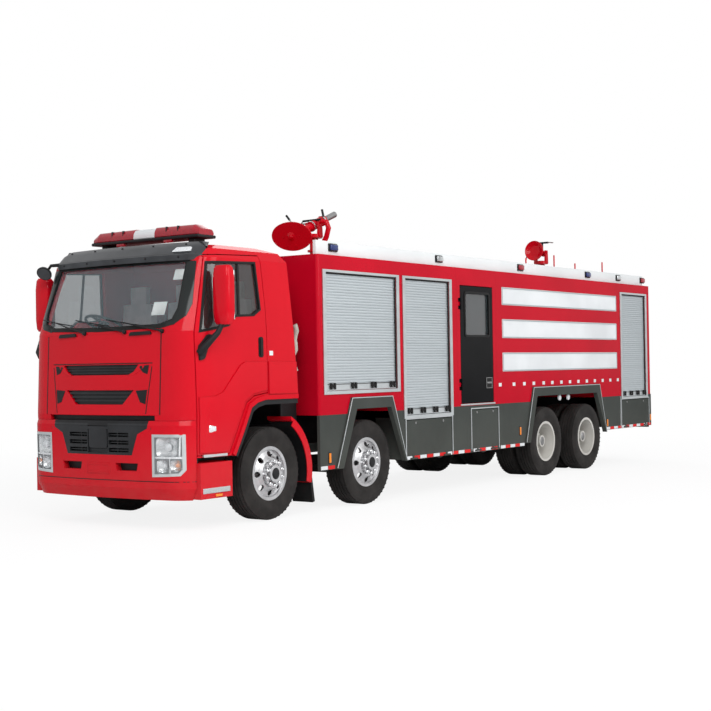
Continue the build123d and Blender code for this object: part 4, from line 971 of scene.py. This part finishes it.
sweep = [math.radians(GUARD_SWEEP[0] + (GUARD_SWEEP[1] - GUARD_SWEEP[0]) * k / GUARD_STEPS)
         for k in range(GUARD_STEPS + 1)]
for side, side_name in SIDES:
    inner_edges = [(angle, guard_section(LINING, angle, side)[0]) for angle in sweep]
    covered = [angle for angle, edge in inner_edges if edge.z > GUARD_LOW_Z and edge.x < GUARD_FRONT_X]
    bm = bmesh.new()
    for index, section in enumerate((LINING, FLANGE)):
        add_loft(bm, [guard_section(section, angle, side) for angle in covered], index)
    finished(f"mudguard_lining_{side_name}", bm, [DARK, RED_LOW], "truck", smooth=True)

# Windscreen, as (y, z): seal, dark edge of the glass, wipers with their cowl pieces, papers
SCREEN = ((-1.000, 2.300), (-0.960, 2.170), (-0.800, 2.115), (0, 2.095), (0.800, 2.115), (0.960, 2.170),
          (1.000, 2.300), (0.960, 2.800), (-0.960, 2.800))
bm = bmesh.new()
add_strip(bm, SCREEN, 0.045, cab_face, (-0.024, 0.003), closed=True)
finished("windscreen_seal", bm, RUBBER, "truck", smooth=True)
# Dark edge that runs out to the pillar, on the left half
GLASS_EDGE = ((0.800, 2.085), (0.980, 2.125), (1.080, 2.215), (1.108, 2.340), (1.060, 2.790), (0.955, 2.795),
              (0.995, 2.300), (0.955, 2.175), (0.800, 2.118))
bm = bmesh.new()
for sign in (1, -1):
    add_draped(bm, mirrored(GLASS_EDGE, sign), cab_face, (-0.003, 0.003), cell=0.03)
finished("windscreen_edge", bm, FRIT, "truck", smooth=True)
WIPER_Z = 2.065
# Wiper: pivot y, tip y, tip z
WIPERS = ((0.86, 0.33, 2.165), (0.37, -0.16, 2.175), (-0.22, -0.77, 2.200))
WIPER_CAP = ((-0.03, 0.0), (-0.03, 0.022), (0.006, 0.022), (0.012, 0.014), (0.014, 0))
bm = bmesh.new()
for pivot_y, tip_y, tip_z in WIPERS:
    pivot = cab_face(pivot_y, WIPER_Z, 0.020)
    middle = cab_face((pivot_y + tip_y) / 2, (WIPER_Z + tip_z) / 2, 0.040)
    add_turned(bm, WIPER_CAP, pivot, (1, 0, 0.3), sides=20)
    add_tube(bm, [pivot, middle, cab_face(tip_y, tip_z, 0.028)], [0.011, 0.008, 0.006])
    add_tube(bm, [cab_face(tip_y - 0.26, tip_z + 0.035, 0.013), cab_face(tip_y, tip_z - 0.005, 0.022),
                  cab_face(tip_y + 0.30, tip_z - 0.045, 0.013)], 0.006)
for y in (-0.50, 0.58):
    cowl = [(y - 0.15, 2.020), (y + 0.15, 2.030), (y + 0.13, 2.066), (y - 0.13, 2.060)]
    add_draped(bm, rounded_outline(cowl, 0.015), cab_face, (-0.002, 0.016))
finished("wipers", bm, DARK, "truck", smooth=True)
# Paper: y, z, half width, half height
PAPERS = ((0.87, 2.655, 0.065, 0.055), (0.72, 2.30, 0.085, 0.07))
bm = bmesh.new()
for y, z, half_y, half_z in PAPERS:
    add_draped(bm, frame_of(around(y, half_y), around(z, half_z)), cab_face, (-0.032, -0.030))
finished("screen_papers", bm, PAPER, "truck")

# Front panel, as (y, z): seams, dark inserts, grille corners and slats
SEAM = (-0.001, 0.002)
# Insert beside a grille: bottom z, top z, inner y, outer y
INSERTS = ((1.62, 1.715, 0.56, 0.70), (1.31, 1.46, 0.53, 0.68))
GRILLE_CORNER = ((0.565, 1.726), (0.668, 1.726), (0.600, 1.668), (0.500, 1.610), (0.418, 1.610),
                 (0.500, 1.650))
# Slat: z, half length
TOP_SLATS = ((1.695, 0.57), (1.665, 0.52), (1.635, 0.46))
MIDDLE_SLATS = ((1.425, 0.46), (1.385, 0.42), (1.345, 0.38))
bm = bmesh.new()
for sign in (1, -1):
    add_strip(bm, [(sign * 0.735, 1.70), (sign * 0.665, 1.21)], 0.010, cab_face, SEAM)
    add_strip(bm, [(sign * 0.845, 2.04), (sign * 0.845, 1.20)], 0.012, cab_face, SEAM)
    for low, high, inner, outer in INSERTS:
        outline = ((outer, high), (inner, high - 0.01), (inner + 0.06, low + 0.02), (outer - 0.02, low))
        add_draped(bm, mirrored(outline, sign), cab_face, (-0.002, 0.003))
add_level_strip(bm, 1.735, 0.74, 0.010, cab_face, SEAM)
add_draped(bm, frame_of((-0.86, 0.86), (1.142, 1.188)), cab_face, (-0.06, -0.045))
add_draped(bm, frame_of((-0.88, 0.88), (1.080, 1.240)), cab_face, (-0.125, -0.105))
finished("front_seams", bm, DARK, "truck", smooth=True)
bm = bmesh.new()
for sign in (1, -1):
    add_draped(bm, mirrored(GRILLE_CORNER, sign), cab_face, (-0.030, 0.003))
finished("grille_bars", bm, RED, "truck", smooth=True)
bm = bmesh.new()
for z, half in TOP_SLATS:
    add_level_strip(bm, z, half, 0.012, cab_face, (-0.045, -0.012))
for z, half in MIDDLE_SLATS:
    add_level_strip(bm, z, half, 0.018, cab_face, (-0.045, -0.010))
finished("upper_slats", bm, GRILLE, "truck", smooth=True)

# Lower grille on the bumper: rim, slats and a blank badge plate
LOWER_RIM = ((0.69, 1.060), (0.56, 1.000), (0.48, 0.780), (-0.48, 0.780), (-0.56, 1.000), (-0.69, 1.060))
LOWER_SLATS = ((0.83, 0.46), (0.87, 0.48), (0.91, 0.50), (0.95, 0.52), (0.99, 0.54))
bm = bmesh.new()
add_strip(bm, LOWER_RIM, 0.035, bumper_face, (-0.02, -0.002))
add_level_strip(bm, 1.062, 0.74, 0.030, bumper_face, (-0.02, 0.0))
add_level_strip(bm, 1.110, 0.70, 0.052, bumper_face, (-0.010, 0.001), index=1)
for z, half in LOWER_SLATS:
    add_level_strip(bm, z, half, 0.012, bumper_face, (-0.05, -0.018))
for y in (-0.27, -0.14, 0.14, 0.27):
    add_strip(bm, [(y, 0.80), (y, 1.04)], 0.012, bumper_face, (-0.05, -0.022))
add_draped(bm, rounded_outline(frame_of((-0.135, 0.135), (0.850, 1.055)), 0.03), bumper_face, (-0.02, -0.001))
finished("lower_slats", bm, [GRILLE, DARK], "truck", smooth=True)

# Bumper: split line, slot backs and plate holder
SPLIT_Z = 0.515
SLOT_BACK = ((0.25, 0.697), (0.56, 0.697), (0.54, 0.617), (0.27, 0.617))
bm = bmesh.new()
add_level_strip(bm, SPLIT_Z, 1.16, 0.008, bumper_face, (-0.001, 0.0015))
for sign in (1, -1):
    add_draped(bm, mirrored(SLOT_BACK, sign), bumper_face, (-0.085, -0.07))
for side, _ in SIDES:
    add_strip(bm, [(5.66, SPLIT_Z), (5.80, SPLIT_Z)], 0.008, bumper_flank(side), (-0.001, 0.002))
finished("bumper_seams", bm, DARK, "truck", smooth=True)
bm = bmesh.new()
add_draped(bm, rounded_outline(frame_of((-0.17, 0.17), (0.575, 0.695)), 0.02), bumper_face, (-0.01, 0.002))
add_strip(bm, frame_of((-0.15, 0.15), (0.595, 0.675)), 0.014, bumper_face, (0.0, 0.004), closed=True)
finished("plate_holder", bm, RED_LOW, "truck", smooth=True)

# Sun visor: shell, dark line, screws and a marker lamp. Rows as in the cab's plan outlines
VISOR_ROWS = ((2.800, 5.2, 5.612, 1.080, 0.120, 0.150), (2.850, 5.2, 5.622, 1.080, 0.120, 0.150),
              (2.960, 5.2, 5.520, 1.055, 0.110, 0.150), (3.005, 5.2, 5.440, 1.010, 0.100, 0.150))
VISOR_BACK_X = 5.331
VISOR_WALL = 0.008
# Section of the shell: height, swell of the bead that runs along it
VISOR_SECTIONS = ((2.800, 0), (2.815, 0), (2.860, 0.010), (2.875, 0), (2.950, 0), (2.985, 0), (3.005, 0))
VISOR_STEPS = 40
VISOR_SCREW = ((-0.004, 0.0), (-0.004, 0.013), (0.004, 0.012), (0.008, 0.0))
MARKER_LAMP = rounded_outline([(0.76, 2.895), (0.985, 2.895), (0.965, 2.945), (0.79, 2.945)], 0.015)


def visor_face(y, z, height):
    """Point over the visor's front."""
    return Vector((face_x(VISOR_ROWS, y, z) + height, y, z))


def visor_section(z, swell):
    """Closed section of the visor's shell at a height: its outside and its inside."""
    half = row_at(VISOR_ROWS, z)[3]
    across = [half * math.sin(math.pi / 2 * (2 * k / VISOR_STEPS - 1)) for k in range(VISOR_STEPS + 1)]
    outer = [Vector((VISOR_BACK_X, -half, z))]
    outer += [visor_face(y, z, swell) for y in across]
    outer.append(Vector((VISOR_BACK_X, half, z)))
    share = 1 - VISOR_WALL / half
    inner = [Vector((max(VISOR_BACK_X, v.x - VISOR_WALL * 2), v.y * share, v.z)) for v in reversed(outer)]
    return outer + inner


bm = bmesh.new()
rings = add_loft(bm, [visor_section(z, swell) for z, swell in VISOR_SECTIONS], caps=False)
for ring in (rings[0], rings[-1]):
    size = len(ring)
    for k in range(size // 2 - 1):
        bm.faces.new((ring[k], ring[k + 1], ring[size - 2 - k], ring[size - 1 - k]))
visor = finished("visor_shell", bm, VISOR, "truck", smooth=True, angle=25)
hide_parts("sun_visor")
bm = bmesh.new()
add_level_strip(bm, 2.868, 1.04, 0.010, visor_face, (-0.004, 0.004), index=1)
for y in (-0.88, -0.45, 0.0, 0.45, 0.88):
    for z in (2.838, 2.975):
        add_turned(bm, VISOR_SCREW, visor_face(y * 0.98, z, 0.0), (1, 0, 0.3), sides=16, index=1)
add_draped(bm, MARKER_LAMP, visor_face, (-0.01, 0.014))
finished("visor_fittings", bm, [WHITE_LENS, DARK], "truck", smooth=True)

# Light bar: lens halves with a pale blank middle panel, ribs, base and feet
BAR_LOW, BAR_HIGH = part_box("light_bar")
BAR_X = (BAR_LOW.x + BAR_HIGH.x) / 2
BAR_TOP = BAR_HIGH.z
BAR_TALL = 0.115
BAR_HALF_DEPTH = 0.135
BAR_BASE = BAR_TOP - BAR_TALL
# Stretch: start y, end y, height share at the start, at the end, material
BAR_STRETCHES = (
    (-0.80, -0.72, 0.55, 0.96, 0),
    (-0.72, -0.16, 0.96, 1, 0),
    (-0.16, 0.16, 0.93, 0.93, 1),
    (0.16, 0.72, 1, 0.96, 0),
    (0.72, 0.80, 0.96, 0.55, 0),
)


def bar_section(y, rise):
    """Rounded section of the light bar at a place across the truck, up to a share of its height."""
    half = BAR_HALF_DEPTH * (0.8 + 0.2 * min(1, rise * 1.03))
    tall = BAR_TALL * rise
    shape = [(-1, 0), (-0.96, 0.55), (-0.72, 1), (0.72, 1), (0.96, 0.55), (1, 0)]
    outline = rounded_outline([(half * x, BAR_BASE + tall * z) for x, z in shape], 0.02, steps=3)
    return [Vector((BAR_X + x, y, z)) for x, z in outline]


bm = bmesh.new()
for start, end, rise_start, rise_end, index in BAR_STRETCHES:
    add_loft(bm, [bar_section(start, rise_start), bar_section(end, rise_end)], index)
for y in (-0.5, -0.33, 0.33, 0.5):
    add_box(bm, (BAR_X - 0.130, y - 0.006, BAR_BASE + 0.002), (BAR_X + 0.130, y + 0.006, BAR_TOP - 0.004),
            bevel=0.004, index=2)
add_box(bm, (BAR_X - 0.148, -0.81, BAR_BASE - 0.035), (BAR_X + 0.148, 0.81, BAR_BASE), bevel=0.010, index=2)
for side, _ in SIDES:
    add_side_box(bm, side, around(BAR_X, 0.09), (0.62, 0.70), (2.986, BAR_BASE - 0.03), bevel=0.006, index=2)
    add_side_box(bm, side, around(BAR_X + 0.12, 0.02), (0.30, 0.42), (BAR_BASE - 0.065, BAR_BASE - 0.03),
                 bevel=0.006)
warning_bar = finished("warning_bar", bm, [RED_LENS, TAPE_WHITE, DARK], "truck", smooth=True)
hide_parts("light_bar")

# Mirrors: shaped housings, glass, brackets, and a kerb mirror on the truck's right
MIRROR_X = 5.40
MIRROR_Y = 1.35
# Housing section: height, half depth, half width
MIRROR_SECTIONS = ((2.120, 0.045, 0.080), (2.150, 0.062, 0.098), (2.250, 0.068, 0.108), (2.600, 0.068, 0.108),
                   (2.700, 0.060, 0.098), (2.730, 0.042, 0.080))
# Plate on the door that the mirror's arm grows from, as (x, z)
MIRROR_FOOT = rounded_outline([(5.560, 1.770), (5.612, 1.750), (5.616, 1.900), (5.520, 2.020),
                               (5.470, 2.020)], 0.015)


def mirror_section(side, z, deep, wide):
    """Rounded section of a mirror's housing."""
    shape = [(-1, -1), (0.75, -1), (1, -0.3), (1, 0.3), (0.75, 1), (-1, 1)]
    outline = rounded_outline([(deep * x, wide * y) for x, y in shape], 0.03, steps=3)
    return [(MIRROR_X + x, side * MIRROR_Y + y, z) for x, y in outline]


for side, side_name in SIDES:
    bm = bmesh.new()
    add_loft(bm, [mirror_section(side, *section) for section in MIRROR_SECTIONS])
    add_side_box(bm, side, around(MIRROR_X - 0.069, 0.005), around(MIRROR_Y, 0.09), (2.17, 2.68), bevel=0.003,
                 index=1)
    foot = cab_flank(side)(5.60, 1.83, -0.002)
    arm = [foot, foot + Vector((-0.01, side * 0.05, 0.05)), (5.47, side * 1.325, 2.03),
           (MIRROR_X + 0.01, side * 1.345, 2.14)]
    add_tube(bm, arm, [0.042, 0.040, 0.030, 0.028], index=2)
    add_draped(bm, MIRROR_FOOT, cab_flank(side), (-0.002, 0.022), index=2)
    mirror = finished(f"door_mirror_{side_name}", bm, [RED, MIRROR, DARK], f"cab_door_{side_name}",
                      smooth=True)
    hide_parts(f"mirror_{side_name}")
KERB_SPOT = Vector((5.58, -1.150, 2.765))
KERB_AXIS = Vector((0.72, 0.30, -0.62))
KERB_BOWL = ((-0.050, 0), (-0.044, 0.05), (-0.022, 0.080), (0.0, 0.088), (0.006, 0.086), (0.006, 0))
KERB_GLASS = ((0.004, 0), (0.007, 0.076), (0.009, 0.074), (0.010, 0))
bm = bmesh.new()
arm = [visor_face(-0.94, 2.86, -0.05), (5.56, -1.06, 2.85), KERB_SPOT + Vector((-0.03, 0.02, 0.03))]
add_tube(bm, arm, [0.022, 0.018, 0.014])
add_turned(bm, KERB_BOWL, KERB_SPOT, KERB_AXIS, sides=32)
add_turned(bm, KERB_GLASS, KERB_SPOT, KERB_AXIS, sides=32, index=1)
finished("kerb_mirror", bm, [DARK, VISOR], "truck", smooth=True)

# Seats: padded bases, backs and head rests with crowned forms
SEAT_X = 4.70
SEATS_Y = (-0.72, 0.0, 0.72)
CUSHION_STEPS = 8
UPRIGHT = Matrix.Rotation(math.radians(90), 4, "Y") @ Matrix.Rotation(math.radians(180), 4, "X")
# Cushion: place ahead of the seat's x, height, size, crown, turn
CUSHIONS = (
    (0.065, 1.790, (0.50, 0.48, 0.13), 0.035, Matrix.Identity(4)),
    (-0.21, 2.125, (0.62, 0.46, 0.12), 0.030, UPRIGHT),
    (-0.22, 2.530, (0.20, 0.25, 0.09), 0.025, UPRIGHT),
)


def add_cushion(bm, size, crown, matrix):
    """Crowned pad from a subdivided box whose sides pull in at its corners, moved into place."""
    top = bmesh.ops.create_grid(bm, x_segments=CUSHION_STEPS, y_segments=CUSHION_STEPS, size=0.5)["verts"]
    lower = {}
    for vert in top:
        u, v = vert.co.x * 2, vert.co.y * 2
        swell = (1 - u ** 4) * (1 - v ** 4)
        pinch = 1 - 0.04 * (u * v) ** 2
        vert.co = (u / 2 * size[0] * pinch, v / 2 * size[1] * pinch, size[2] / 2 - crown + crown * swell)
        lower[vert] = bm.verts.new((vert.co.x, vert.co.y, -size[2] / 2))
    faces = set(f for v in top for f in v.link_faces)
    border = [e for e in set(e for f in faces for e in f.edges) if len(e.link_faces) == 1]
    for face in faces:
        bm.faces.new([lower[v] for v in face.verts][::-1])
    for edge in border:
        a, b = edge.verts
        bm.faces.new((a, b, lower[b], lower[a]))
    bmesh.ops.transform(bm, matrix=matrix, verts=list(top) + list(lower.values()))


bm = bmesh.new()
for seat_y in SEATS_Y:
    for ahead, z, size, crown, turn in CUSHIONS:
        add_cushion(bm, size, crown, Matrix.Translation((SEAT_X + ahead, seat_y, z)) @ turn)
    add_box(bm, (SEAT_X - 0.12, seat_y - 0.15, 1.396), (SEAT_X + 0.28, seat_y + 0.15, 1.722), bevel=0.02,
            index=1)
seats = finished("padded_seats", bm, [SEAT_CLOTH, DARK], "truck", smooth=True, angle=60)
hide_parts("cab_seats")

# Roof monitors: levers, breech, collars, linkage and dish bolts in front, a lever and a hoop at the rear
FRONT_PIVOT = Vector((2.050, 0, 3.500))
REAR_PIVOT = Vector((-4.270, 0, 3.520))
FRONT_PITCH = math.radians(-21)
# Lever: root, bend, tip, from the pivot
LEVERS = (((0.02, -0.085, 0.02), (-0.02, -0.36, 0.04), (-0.05, -0.44, 0.110)),
          ((-0.05, 0.085, 0.02), (-0.05, 0.135, 0.05), (-0.05, 0.120, 0.112)))
BREECH = ((0, 0), (0, 0.034), (0.004, 0.041), (0.05, 0.041), (0.24, 0.039), (0.245, 0.034), (0.245, 0))
COLLAR = ((0, 0.050), (0, 0.070), (0.02, 0.070), (0.02, 0.050))
DISH_BOLT = ((-0.006, 0), (-0.006, 0.011), (0.004, 0.010), (0.006, 0))
BOLT_CIRCLE = 0.13
# Hoop over the rear monitor: y, rise over the pivot
HOOP = ((-0.28, -0.10), (-0.262, 0.02), (-0.22, 0.10), (-0.15, 0.145), (-0.02, 0.165), (0.16, 0.165),
        (0.23, 0.155))
# Elbow beside the front monitor's head, from the pivot
ELBOW = ((-0.03, 0.115, -0.26), (-0.03, 0.18, -0.16), (-0.03, 0.215, -0.05), (-0.02, 0.19, 0.03),
         (-0.01, 0.12, 0.045))


def tube_from(bm, pivot, points, radius, index=0):
    """Tube through points that are measured from a pivot."""
    add_tube(bm, [pivot + Vector(point) for point in points], radius, index=index)


bm = bmesh.new()
barrel = Vector((math.cos(FRONT_PITCH), 0, math.sin(FRONT_PITCH)))
for lever in LEVERS:
    tube_from(bm, FRONT_PIVOT, lever, 0.010)
    bend, tip = (FRONT_PIVOT + Vector(point) for point in lever[1:])
    way = (tip - bend).normalized()
    add_tube(bm, [tip - way * 0.01, tip + way * 0.09], 0.015, index=1)
add_turned(bm, BREECH, FRONT_PIVOT - barrel * 0.494, barrel, sides=32)
for along in (-0.20, 0.05):
    add_turned(bm, COLLAR, FRONT_PIVOT + barrel * along, barrel, sides=32, index=2)
tube_from(bm, FRONT_PIVOT, [(0.02, -0.16, 0.06), (-0.02, 0.15, 0.07)], 0.014, index=1)
tube_from(bm, FRONT_PIVOT, [(0.02, -0.16, 0.06), barrel * 0.30 + Vector((0, -0.05, 0.02))], 0.008, index=1)
for k in range(6):
    angle = math.pi * k / 3
    spot = FRONT_PIVOT + barrel * 0.506 + Vector((0, math.cos(angle), math.sin(angle))) * BOLT_CIRCLE
    add_turned(bm, DISH_BOLT, spot, barrel, sides=10, index=3)
finished("monitor_front_levers", bm, [DULL, DARK, STEEL, RED], "monitor_front_barrel", smooth=True)
bm = bmesh.new()
tube_from(bm, REAR_PIVOT, [(0, 0.03, 0.04), (0, 0.03, 0.160)], 0.014, index=1)
tube_from(bm, REAR_PIVOT, [(0, y, rise) for y, rise in HOOP], 0.009)
tube_from(bm, REAR_PIVOT, [(0, -0.04, 0.165), (0, 0.14, 0.165)], 0.016, index=1)
finished("monitor_rear_levers", bm, [DULL, DARK, STEEL, RED], "monitor_rear_barrel", smooth=True)
bm = bmesh.new()
tube_from(bm, FRONT_PIVOT, ELBOW, 0.034)
finished("monitor_elbow", bm, RED, "monitor_front_head", smooth=True)

# Slim posts on the roof: x, top z
ROOF_POSTS = ((-1.70, 3.225), (-2.61, 3.320), (-3.33, 3.235), (-4.33, 3.306))
bm = bmesh.new()
for x, top in ROOF_POSTS:
    add_tube(bm, [(x, 1.08, 2.955), (x, 1.08, top - 0.012), (x, 1.08, top)], [0.011, 0.011, 0.006])
finished("roof_posts", bm, RED, "truck", smooth=True)

# Pale ribbed hose and dark gear in the gap behind the cab
HOSE_STEPS = range(16)
hose = [(3.95 + 0.035 * math.sin(k * 0.42), 1.13 + 0.02 * math.cos(k * 0.9), 1.62 + 0.035 * k)
        for k in HOSE_STEPS]
bm = bmesh.new()
add_tube(bm, hose, [0.028 + 0.004 * (k % 2) for k in HOSE_STEPS])
finished("intake_duct", bm, HOSE, "truck", smooth=True)
bm = bmesh.new()
add_box(bm, (3.68, -0.95, 1.01), (3.98, 0.95, 1.50), bevel=0.02)
add_box(bm, (3.70, 0.60, 1.50), (3.96, 0.98, 2.10), bevel=0.03)
finished("gap_gear", bm, DARK, "truck")

# Camera at the photograph's angle, solved from the photograph
CAMERA_PLACE = Vector((15.8154, 10.393, 1.6724))
CAMERA_YAW = math.radians(35.346)
CAMERA_PITCH = math.radians(0.442)
CAMERA_ROLL = math.radians(-0.9064)
FOCAL_PIXELS = 1333.725
FRAME_PIXELS = 711
SENSOR_WIDTH = 36
reach = math.cos(CAMERA_PITCH)
ahead = Vector((-math.cos(CAMERA_YAW) * reach, -math.sin(CAMERA_YAW) * reach, math.sin(CAMERA_PITCH)))
level = Vector((-math.sin(CAMERA_YAW), math.cos(CAMERA_YAW), 0))
upward = level.cross(ahead)
across = level * math.cos(CAMERA_ROLL) + upward * math.sin(CAMERA_ROLL)
above = upward * math.cos(CAMERA_ROLL) - level * math.sin(CAMERA_ROLL)
camera_data = bpy.data.cameras.new("camera")
camera_data.sensor_width = SENSOR_WIDTH
camera_data.lens = SENSOR_WIDTH * FOCAL_PIXELS / FRAME_PIXELS
camera_data.clip_end = 400
camera = bpy.data.objects.new("camera", camera_data)
bpy.context.scene.collection.objects.link(camera)
turn = Matrix((across, above, -ahead)).transposed()
camera.matrix_world = Matrix.Translation(CAMERA_PLACE) @ turn.to_4x4()
bpy.context.scene.camera = camera

# Floor, which shows white to the camera and keeps the truck's shadow
# Distances from the origin between which the shadow fades out
FADE_START, FADE_END = 5.5, 13.0


def pale_floor():
    """White floor with the object's shadow."""
    material, shader = principled("studio_floor", (0.93, 0.93, 0.93), 0.9)
    vary_rough(material, shader, 0.88, 0.92, 2)
    path = add_node(material, "ShaderNodeLightPath")
    glow = add_node(material, "ShaderNodeEmission")
    glow.inputs["Color"].default_value = (1, 1, 1, 1)
    mixer = add_node(material, "ShaderNodeMixShader")
    share = add_node(material, "ShaderNodeMath", operation="MULTIPLY")
    place = add_node(material, "ShaderNodeNewGeometry")
    reach = add_node(material, "ShaderNodeVectorMath", operation="LENGTH")
    fade = add_node(material, "ShaderNodeMapRange", from_min=FADE_START, from_max=FADE_END, to_min=0.86,
                    to_max=1.0)
    link(material, place, "Position", reach, 0)
    link(material, reach, "Value", fade, "Value")
    link(material, fade, "Result", share, 1)
    link(material, path, "Is Camera Ray", share, 0)
    link(material, share, 0, mixer, "Fac")
    link(material, shader, "BSDF", mixer, 1)
    link(material, glow, "Emission", mixer, 2)
    link(material, mixer, "Shader", material.node_tree.nodes["Material Output"], "Surface")
    return material


bm = bmesh.new()
bmesh.ops.create_grid(bm, x_segments=1, y_segments=1, size=120)
floor_mesh = bpy.data.meshes.new("floor")
bm.to_mesh(floor_mesh)
bm.free()
floor_mesh.materials.append(pale_floor())
floor = bpy.data.objects.new("floor", floor_mesh)
bpy.context.scene.collection.objects.link(floor)
floor.location.z = -0.0015

# Studio light: surroundings that show white to the camera, and three lamps
world = bpy.data.worlds.new("studio")
bpy.context.scene.world = world
world.use_nodes = True
tree = world.node_tree
background = tree.nodes["Background"]
background.inputs["Color"].default_value = (0.95, 0.97, 1.0, 1)
background.inputs["Strength"].default_value = 0.55
white = tree.nodes.new("ShaderNodeBackground")
white.inputs["Color"].default_value = (1, 1, 1, 1)
white.inputs["Strength"].default_value = 1.0
path = tree.nodes.new("ShaderNodeLightPath")
seen = tree.nodes.new("ShaderNodeMath")
seen.operation = "MAXIMUM"
shown = tree.nodes.new("ShaderNodeMath")
shown.operation = "MAXIMUM"
mixer = tree.nodes.new("ShaderNodeMixShader")
tree.links.new(path.outputs["Is Camera Ray"], seen.inputs[0])
tree.links.new(path.outputs["Is Glossy Ray"], seen.inputs[1])
tree.links.new(seen.outputs[0], shown.inputs[0])
tree.links.new(path.outputs["Is Transmission Ray"], shown.inputs[1])
tree.links.new(shown.outputs[0], mixer.inputs["Fac"])
tree.links.new(background.outputs["Background"], mixer.inputs[1])
tree.links.new(white.outputs["Background"], mixer.inputs[2])
tree.links.new(mixer.outputs["Shader"], tree.nodes["World Output"].inputs["Surface"])

# Lamp: place, aim, size, power
STUDIO_LAMPS = (
    ("key", (14, 9, 11), (1, 0, 1.2), 9, 1500),
    ("flank", (0, 17, 9), (0, 0, 1.2), 12, 1500),
    ("back", (-13, -9, 10), (0, 0, 1.2), 9, 700),
)
for name, place, aim, size, power in STUDIO_LAMPS:
    data = bpy.data.lights.new(name, "AREA")
    data.size = size
    data.energy = power
    lamp = bpy.data.objects.new(name, data)
    bpy.context.scene.collection.objects.link(lamp)
    lamp.location = place
    lamp.rotation_mode = "QUATERNION"
    lamp.rotation_quaternion = (Vector(aim) - Vector(place)).to_track_quat("-Z", "Y")

scene = bpy.context.scene
scene.view_settings.view_transform = "Standard"
scene.camera.data.dof.use_dof = False
